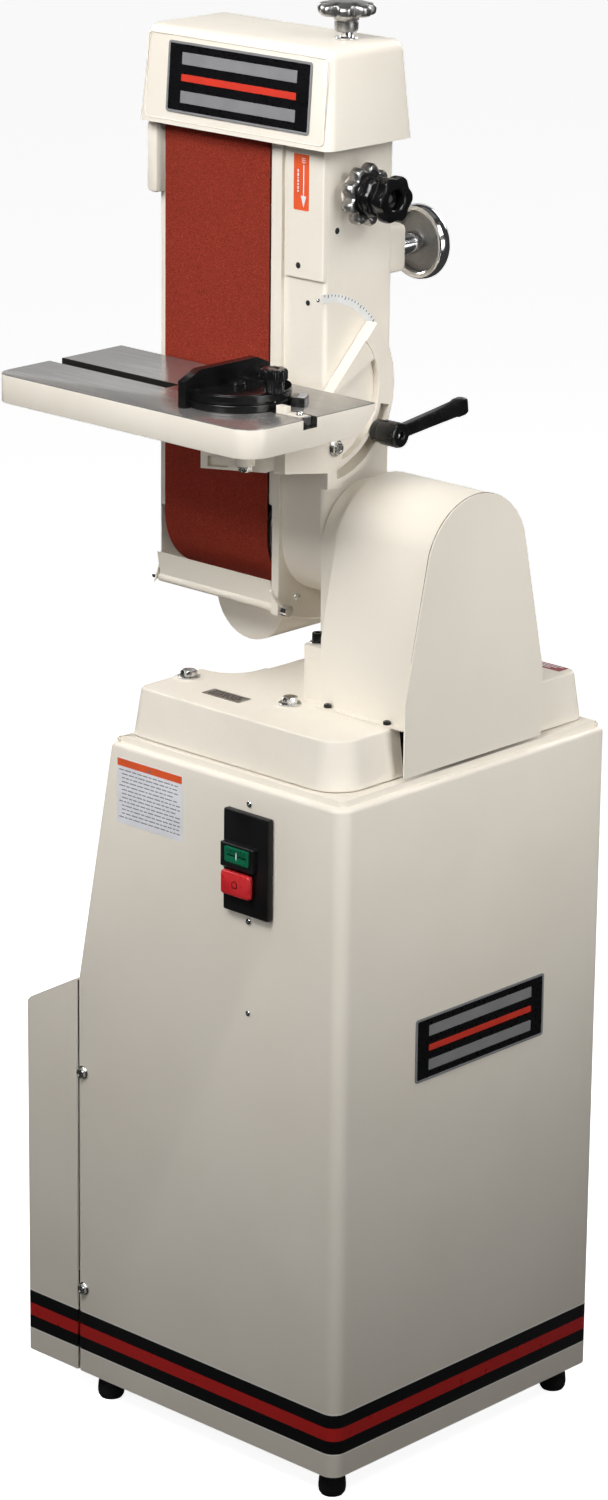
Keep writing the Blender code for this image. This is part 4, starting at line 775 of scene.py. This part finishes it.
# Controls
def make_buttons():
    start = loft([
        [(x, y, z) for x, z in rounded_box(
            (-0.1515 + inset, 0.6653 + inset), (-0.1163 - inset, 0.683 - inset), 0.0016 + inset)]
        for inset, y in (
            (0, -0.004), (0, -0.016), (0.0003, -0.0168), (0.001, -0.0172),
            (0.0034, -0.0172), (0.004, -0.0168),
        )
    ])
    mark = painted(brick((-0.1345, -0.1333), (-0.0171, -0.016), (0.67, 0.6784)), 1)
    piece("start_cap", together(start, mark), "start", [GREEN, WHITE_FILM], ["start_button"])
    stop = loft([
        [(x, y, z) for x, z in rounded_box(
            (-0.1547 + inset, 0.6305 + inset), (-0.1137 - inset, 0.6562 - inset), 0.003)]
        for inset, y in (
            (0.0006, -0.0125), (0.0001, -0.0131), (0, -0.014), (0, -0.0176),
            (0.0005, -0.0185), (0.0014, -0.019),
        )
    ])
    stem = brick((-0.15, -0.118), (-0.014, -0.004), (0.634, 0.653))
    middle = (-0.1342, 0.6434)
    mark = painted(ring_plate(
        "y", arc(middle, 0.0042, 0, 352.5, 48), arc(middle, 0.0031, 0, 352.5, 48), -0.019, -0.018), 1)
    piece("stop_cap", together(stop, stem, mark), "stop", [RED, WHITE_FILM], ["stop_button"])


def make_tension_knob():
    low, high = (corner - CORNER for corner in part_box("tension_knob"))
    at = ((low.x + high.x) / 2, (low.y + high.y) / 2, 0)
    star = turned([
        (0, 1.519), (0.012, 1.519), (0.0235, 1.5186), (0.0275, 1.5192), (0.0297, 1.5208),
        (0.0305, 1.5232), (0.0305, 1.5262), (0.0298, 1.5286), (0.028, 1.5302), (0.0255, 1.531),
        (0.0232, 1.5312), (0.0205, 1.532), (0.015, 1.5333), (0.008, 1.5336), (0, 1.5337),
    ], steps=140, reach=lobes(7, 0.0305, 0.0078, 2.2))
    neck = turned([
        (0, 1.502), (0.0105, 1.502), (0.0118, 1.5032), (0.0124, 1.506), (0.0124, 1.512), (0.0116, 1.5126),
        (0.0116, 1.5134), (0.0128, 1.5142), (0.0136, 1.5172), (0.015, 1.5192), (0, 1.52),
    ])
    body = laid(together(star, neck), at)
    piece("tension_star", body, "tension", [ALUMINIUM], ["tension_knob"])
    stem = turned([
        (0, 1.43), (0.0053, 1.43), (0.0053, 1.494), (0.0072, 1.4945), (0.0072, 1.5022), (0, 1.5022),
    ])
    piece("tension_stem", laid(stem, at), "tension", [CHROME])
    washer = turned([
        (0.0055, 1.4939), (0.0118, 1.4939), (0.0122, 1.4944),
        (0.0122, 1.4958), (0.0114, 1.4966), (0.0055, 1.4966),
    ], closed=True)
    piece("tension_washer", laid(washer, at), "tension", [CHROME])


def make_tracking():
    at = (-0.168, 0.186, 1.339)
    wheel = turned([
        (0.0046, 0.002), (0.0135, 0.002), (0.014, 0.009), (0.0205, 0.0098), (0.0275, 0.01),
        (0.0312, 0.011), (0.0328, 0.0135), (0.033, 0.018), (0.0326, 0.0215), (0.031, 0.024),
        (0.0285, 0.025), (0.0262, 0.0248), (0.0245, 0.0232), (0.0195, 0.0226), (0.0165, 0.0246),
        (0.006, 0.025), (0.0046, 0.0246),
    ], steps=162, closed=True, reach=lobes(9, 0.033, 0.0072, 1.6))
    wheel = laid(wheel, at, RIGHTWARD)
    piece("tracking_star", wheel, "tracking", [ALUMINIUM], ["tracking_wheel"])
    washer = turned([
        (0.0052, 0.0008), (0.0196, 0.0008), (0.02, 0.0012),
        (0.02, 0.0032), (0.0194, 0.0038), (0.0052, 0.0038),
    ], closed=True)
    stem = painted(turned([(0, -0.015), (0.0046, -0.015), (0.0046, 0.024), (0, 0.024)]), 1)
    both = laid(together(washer, stem), at, RIGHTWARD)
    piece("tracking_washer", both, "tracking", [CREAM, STEEL])
    knob = turned([
        (0.0043, 0.0256), (0.0205, 0.0256), (0.0222, 0.0264), (0.0225, 0.0282), (0.0216, 0.034),
        (0.0202, 0.0376), (0.0178, 0.0392), (0.0172, 0.042), (0.0172, 0.0452), (0.0188, 0.0466),
        (0.024, 0.0472), (0.0252, 0.0484), (0.0255, 0.0505), (0.0255, 0.0575), (0.0246, 0.0598),
        (0.0222, 0.0605), (0.0138, 0.0605), (0.012, 0.06), (0.0108, 0.0588), (0.0104, 0.056),
        (0.0104, 0.05), (0.006, 0.049), (0.0043, 0.049),
    ], steps=144, closed=True, reach=lobes(6, 0.0255, 0.0038, 1.2))
    stud = turned([(0, 0.025), (0.0042, 0.025), (0.0042, 0.05), (0.0036, 0.0508), (0, 0.0508)])
    body = laid(together(knob, painted(stud, 1)), at, RIGHTWARD)
    piece("lock_knob_cap", body, "tracking_lock", [GLOSS, STEEL], ["lock_knob"])


def make_handwheel():
    at = (-0.188, 0.2475, 1.268)
    profile = [
        (0, 0.069), (0.008, 0.069), (0.01, 0.0682), (0.0112, 0.0668), (0.025, 0.0662), (0.031, 0.0668),
        (0.0335, 0.069), (0.0362, 0.0698), (0.0385, 0.0688), (0.0397, 0.0665), (0.04, 0.0635),
        (0.0396, 0.059), (0.0382, 0.056), (0.036, 0.0548), (0.034, 0.0548), (0.0326, 0.056),
        (0.032, 0.059), (0.0316, 0.0625), (0.018, 0.0612), (0.0124, 0.0606), (0.012, 0.0596),
        (0.012, 0.0262), (0.0114, 0.0252), (0.0062, 0.025), (0.006, -0.003), (0, -0.004),
    ]
    cast = {4, 16, 17, 18}
    bands = [int(step in cast) for step in range(len(profile) - 1)]
    wheel = turned(profile, steps=72, bands=bands)
    screw = painted(laid(socket_head(0.0022, 0.0012, 0.0012, 0.0003), (0.0, -0.0117, 0.042), FORWARD), 2)
    handle = turned([(0, 0.067), (0.004, 0.067), (0.004, 0.0684), (0.0034, 0.069), (0, 0.069)], steps=24)
    body = laid(together(wheel, screw, laid(handle, (0.0235, 0, 0))), at, BACKWARD)
    looks = [CHROME, DULL_ALUMINIUM, BLACK_PAINT]
    piece("handwheel_rim", body, "handwheel", looks, ["rear_handwheel"])


def make_lock_handle():
    """A ratchet lever: stepped hub with a socket screw in its end, and a squared arm that widens outward."""
    at = Vector((-0.168, 0.2093, 1.0867))
    out = 0.0168
    hub = turned([
        (0, out), (0.0118, out), (0.0122, out + 0.0006), (0.0122, out + 0.0085), (0.0128, out + 0.0092),
        (0.0134, out + 0.011), (0.0135, out + 0.03), (0.0128, out + 0.0332), (0.0115, out + 0.034),
        (0.0052, out + 0.034), (0.0046, out + 0.0336), (0.0046, out + 0.025), (0, out + 0.025),
    ])
    screw = painted(laid(socket_head(0.0036, 0.005, 0.0019, 0.0004), (0, 0, out + 0.025)), 1)
    stud = painted(turned([(0, -0.0048), (0.0059, -0.0048), (0.0059, out + 0.0005), (0, out + 0.0005)]), 1)
    turning = laid(together(hub, screw, stud), (0, 0, 0), RIGHTWARD)
    rings = []
    for reach, wide, tall in (
        (0.004, 0.0125, 0.015), (0.012, 0.0125, 0.0145), (0.02, 0.0118, 0.0138), (0.06, 0.0116, 0.015),
        (0.094, 0.0118, 0.0165), (0.098, 0.0124, 0.019), (0.107, 0.0124, 0.019), (0.111, 0.0112, 0.0165),
        (0.1128, 0.008, 0.011),
    ):
        outline = rounded_box((-wide / 2, -tall / 2), (wide / 2, tall / 2), min(wide, tall) * 0.22)
        rings.append([(u, v, reach) for u, v in outline])
    lean = Matrix.Rotation(-math.pi / 2 + 0.12, 3, "X")
    arm = laid(loft(rings), (out + 0.0235, 0, 0), lean)
    body = laid(together(turning, arm), at)
    piece("lock_lever", body, "table_lock", [GLOSS, STEEL], ["lock_handle"])


# Miter gauge
def make_miter():
    here, chord = (-0.1905, SLOT_Y), -0.0137
    def disc(radius, height):
        end = math.degrees(math.acos(chord / radius))
        return [(x, y, height) for x, y in arc(here, radius, -end, end, 61)]
    base = loft([disc(r, z) for r, z in (
        (0.056, 1.1395), (0.0565, 1.14), (0.0565, 1.1462), (0.056, 1.147), (0.054, 1.1474),
        (0.054, 1.1488), (0.0556, 1.1491), (0.0562, 1.1497), (0.0562, 1.156), (0.0559, 1.1568),
        (0.0554, 1.157), (0.055, 1.1566), (0.0549, 1.1556), (0.0549, 1.148), (0.0481, 1.148),
        (0.0481, 1.1554), (0.0478, 1.1562), (0.047, 1.1565), (0.033, 1.1565), (0.0322, 1.1556),
        (0.031, 1.1552),
    )])
    front, back, low, rise = -0.0235, 0.1, 1.1395, 1.1767
    side = [
        (front, low), (back, low), (back, 1.169), (back - 0.018, rise), (-0.001, rise), (front, 1.167),
    ]
    fence = prism("x", side, -0.2135, -0.2035)
    gusset = [(-0.204, low), (-0.19, low), (-0.204, 1.158)]
    gussets = [prism("y", gusset, y, y + 0.0045) for y in (-0.008, 0.083)]
    boss = laid(turned([
        (0, 1.155), (0.008, 1.155), (0.008, 1.1588), (0.0074, 1.1594), (0, 1.1594),
    ]), (*here, 0))
    halves = [prism("z", arc(here, 0.0072, start, start + 164, 16), 1.159, 1.1609) for start in (188, 8)]
    body = together(base, fence, *gussets, boss, *halves)
    looks = [BLACK_PAINT]
    piece("miter_protractor", body, "miter_gauge", looks, ["miter_head"], 0.0005, 2, 40)
    grip = turned([
        (0, 1.1577), (0.0098, 1.1577), (0.0104, 1.1584), (0.0105, 1.168), (0.0108, 1.17),
        (0.0132, 1.1706), (0.0141, 1.1714), (0.0142, 1.173), (0.0142, 1.1792), (0.0136, 1.1812),
        (0.0122, 1.1822), (0.006, 1.1825), (0.0052, 1.182), (0, 1.1818),
    ], steps=128, reach=lobes(8, 0.0142, 0.003, 1.3))
    stud = painted(turned([(0, 1.138), (0.003, 1.138), (0.003, 1.158), (0, 1.158)], steps=24), 1)
    body = laid(together(grip, stud), (-0.139, SLOT_Y, 0))
    piece("miter_knob_cap", body, "miter_clamp", [GLOSS, CHROME], ["miter_knob"])
    arm = arc(here, 0.0605, -8, 40, 20) + arc(here, 0.0574, 40, -8, 20)
    tab = arc(here, 0.0735, 22, 40, 9) + arc(here, 0.0574, 40, 22, 9)
    parts = [prism("z", arm, 1.1393, 1.1412), prism("z", tab, 1.1393, 1.149)]
    for angle in (25, 29, 33, 37):
        tick = arc(here, 0.0722, angle, angle + 1.4, 2) + arc(here, 0.064, angle + 1.4, angle, 2)
        parts.append(painted(prism("z", tick, 1.1486, 1.1492), 1))
    tab = together(*parts)
    piece("miter_scale_tab", tab, "miter", [BLACK_PAINT, WHITE_FILM], (), 0.0006)
    foot = painted(brick((-0.1255, -0.0962), (0.0325, 0.045), (1.1389, 1.1402)), 1)
    block = painted(brick((-0.1275, -0.114), (0.0305, 0.0385), (1.139, 1.1475)), 1)
    screw = laid(turned([
        (0, 0), (0.0037, 0), (0.0037, 0.0016), (0.003, 0.0031), (0.0018, 0.0038), (0, 0.004),
    ]), (-0.101, 0.0375, 1.1404))
    piece("miter_pointer", together(screw, foot, block), "miter", [CHROME, CREAM], (), 0.0006)


def make_head_details():
    strip = together(
        brick((-0.2431, -0.2402), (0.1425, 0.15), (1.002, 1.388)),
        brick((-0.2398, -0.2363), (0.1415, 0.15), (1.002, 1.388)),
    )
    piece("belt_side_strip", strip, "head", [CREAM], (), 0.0004)
    outline = arc(DRUM, 0.099, 212, 300, 24) + arc(DRUM, 0.0962, 300, 212, 24)
    ridge = prism("x", outline, -0.2262, -0.2222)
    piece("cheek_ridge", ridge, "head", [CAST], (), 0.0008)
    screw = laid(pan_head(0.0046, 0.003, 0.0018), (-0.2261, 0.1684, 0.8989), RIGHTWARD)
    piece("cheek_screw", screw, "head", [CHROME])
    holes = [
        ((-0.2026, PANEL_FRONT, 1.264), 0.003, FORWARD), ((-0.192, COLUMN_FRONT, 1.2255), 0.0026, FORWARD),
    ]
    for y, z in ((0.162, 1.302), (0.171, 1.143), (0.158, 1.044)):
        holes.append(((COLUMN_RIGHT, y, z), 0.003, RIGHTWARD))
    # Flat near-black discs over the holes are painted shadow for their dark insides.
    hole_shadow_discs = []
    for at, radius, turn in holes:
        hole_shadow_disc = turned([(0, 0), (radius, 0), (radius * 1.12, 0.0002), (0, 0.00022)])
        hole_shadow_discs.append(laid(hole_shadow_disc, at, turn))
    piece("column_hole_shadows", together(*hole_shadow_discs), "head", [HOLE])
    outer, inner = (arc(DRUM, radius, 0, 354, 60) for radius in (0.0655, 0.0618))
    rim = ring_plate("x", outer, inner, -0.2438, -0.2422)
    piece("drum_rim", rim, "drive", [CHROME], (), 0.0004)


def make_guard_seam():
    """The dark line where the guard's wrapper meets its face."""
    def along(out):
        front, back = DRUM[0] - GUARD_WALL - out, DRUM[0] + GUARD_WALL + out
        crown = arc(DRUM, GUARD_R + out, 20, 160, 40)
        return [(back, GUARD_FOOT), (back, GUARD_KNEE), *crown, (front, GUARD_KNEE), (front, GUARD_FOOT)]
    line = along(0.0003) + along(-0.0004)[::-1]
    seam = prism("x", line, GUARD_FACE - 0.0008, GUARD_FACE)
    piece("guard_seam", seam, "stand", [SEAM])


make_screws()
make_feet()
make_badges()
make_labels()
make_scale()
make_buttons()
make_tension_knob()
make_tracking()
make_handwheel()
make_lock_handle()
make_miter()
make_head_details()
make_guard_seam()


# Camera, light and floor
CAMERA_PLACE = Vector((2.99103, -3.24173, 2.22357)) + CORNER
CAMERA_AZIMUTH, CAMERA_ELEVATION, CAMERA_ROLL = (math.radians(a) for a in (43.2144, 17.6933, 0.6205))
CAMERA_LENS = 109.94
ROOM_RADIUS, ROOM_HEIGHT = 30, 40


def make_camera():
    level = math.cos(CAMERA_ELEVATION)
    back = Vector(
        (math.sin(CAMERA_AZIMUTH) * level, -math.cos(CAMERA_AZIMUTH) * level, math.sin(CAMERA_ELEVATION)))
    right = (-back).cross(Vector((0, 0, 1))).normalized()
    up = right.cross(-back)
    cos, sin = math.cos(CAMERA_ROLL), math.sin(CAMERA_ROLL)
    axes = (cos * right + sin * up, cos * up - sin * right, back)
    data = bpy.data.cameras.new("camera")
    data.lens = CAMERA_LENS
    data.sensor_width = 36
    data.sensor_fit = "AUTO"
    data.clip_end = 100
    camera = bpy.data.objects.new("camera", data)
    link(camera)
    basis = Matrix(axes).transposed().to_4x4()
    camera.matrix_world = Matrix.Translation(CAMERA_PLACE) @ basis
    bpy.context.scene.camera = camera


def area_light(name, place, aim, width, height, power, spread=180):
    data = bpy.data.lights.new(name, "AREA")
    data.shape = "RECTANGLE"
    data.size = width
    data.size_y = height
    data.energy = power
    data.spread = math.radians(spread)
    light = bpy.data.objects.new(name, data)
    link(light)
    light.location = place
    light.rotation_euler = (Vector(aim) - Vector(place)).to_track_quat("-Z", "Y").to_euler()
    light.visible_camera = False
    return light


def make_studio():
    """High softboxes in front and to the right with narrower ones below them, a light overhead, at the
    left and behind, weak fill all round, and a card that only reflections show. The floor belongs to a
    pale round room, which only the camera sees."""
    world = bpy.data.worlds.new("studio")
    bpy.context.scene.world = world
    world.use_nodes = True
    sky = world.node_tree.nodes["Background"]
    sky.inputs["Color"].default_value = (1, 1, 1, 1)
    sky.inputs["Strength"].default_value = 0.045
    area_light("front_high", (0.38, -1.6, 2.6), (0.05, 0.0, 1.75), 1.3, 0.9, 21, 108)
    area_light("front_low", (0.15, -1.5, 1.35), (-0.2, 0, 0.62), 0.7, 0.5, 0.62, 52)
    area_light("right_high", (1.7, 0.1, 2.4), (0.0, 0.1, 1.75), 1.1, 0.9, 7.5, 108)
    area_light("right_low", (1.5, 0.2, 1.1), (0, 0.2, 0.9), 0.9, 0.7, 1.2, 60)
    area_light("top", (-0.1, 0.2, 3.6), (-0.1, 0.2, 0), 2.2, 2.2, 2)
    area_light("left", (-1.9, -0.2, 2.3), (-0.2, 0, 1.8), 1.0, 0.9, 18)
    area_light("back", (0.0, 2.0, 2.3), (0.0, 0.2, 1.8), 1.2, 1.0, 20)
    for name, place, aim, power in (
        ("front_fill", (0.1, -2.0, 0.6), (0.1, 0.0, 0.6), 2.8),
        ("right_fill", (2.0, 0.1, 0.5), (0.0, 0.1, 0.5), 3.8),
        ("back_fill", (0.0, 2.2, 0.9), (0.0, 0.2, 0.9), 6.0),
        ("left_fill", (-2.2, 0.1, 0.9), (0.0, 0.1, 0.9), 6.0),
    ):
        area_light(name, place, aim, 1.0, 1.0, power).visible_glossy = False
    card = area_light("far_card", (-3.2, 4.2, 2.2), (0.0, 0.0, 1.2), 9.0, 4.4, 70)
    card.visible_diffuse = False

    bm = bmesh.new()
    bmesh.ops.create_cone(
        bm, cap_ends=True, segments=64, radius1=ROOM_RADIUS, radius2=ROOM_RADIUS, depth=ROOM_HEIGHT)
    bmesh.ops.translate(bm, vec=(0, 0, ROOM_HEIGHT / 2), verts=bm.verts)
    mesh = bpy.data.meshes.new("floor")
    bm.to_mesh(mesh)
    bm.free()
    floor = bpy.data.objects.new("floor", mesh)
    link(floor)
    floor.location.z = cad_box[0][2] - 0.0002
    look = Look("studio_floor", 0.9, specular=0.0)
    tone = look.clouds(1.5, 2.0)
    look.set("Base Color", look.blend(tone, (0.9, 0.9, 0.9), (0.885, 0.885, 0.885)))
    look.set("Emission Color", (1, 1, 1, 1)).set("Emission Strength", 0.9)
    mesh.materials.append(look.made)
    floor.visible_diffuse = False
    floor.visible_glossy = False
    bpy.context.scene.view_settings.view_transform = "Standard"
    bpy.context.scene.view_settings.look = "None"


make_camera()
make_studio()
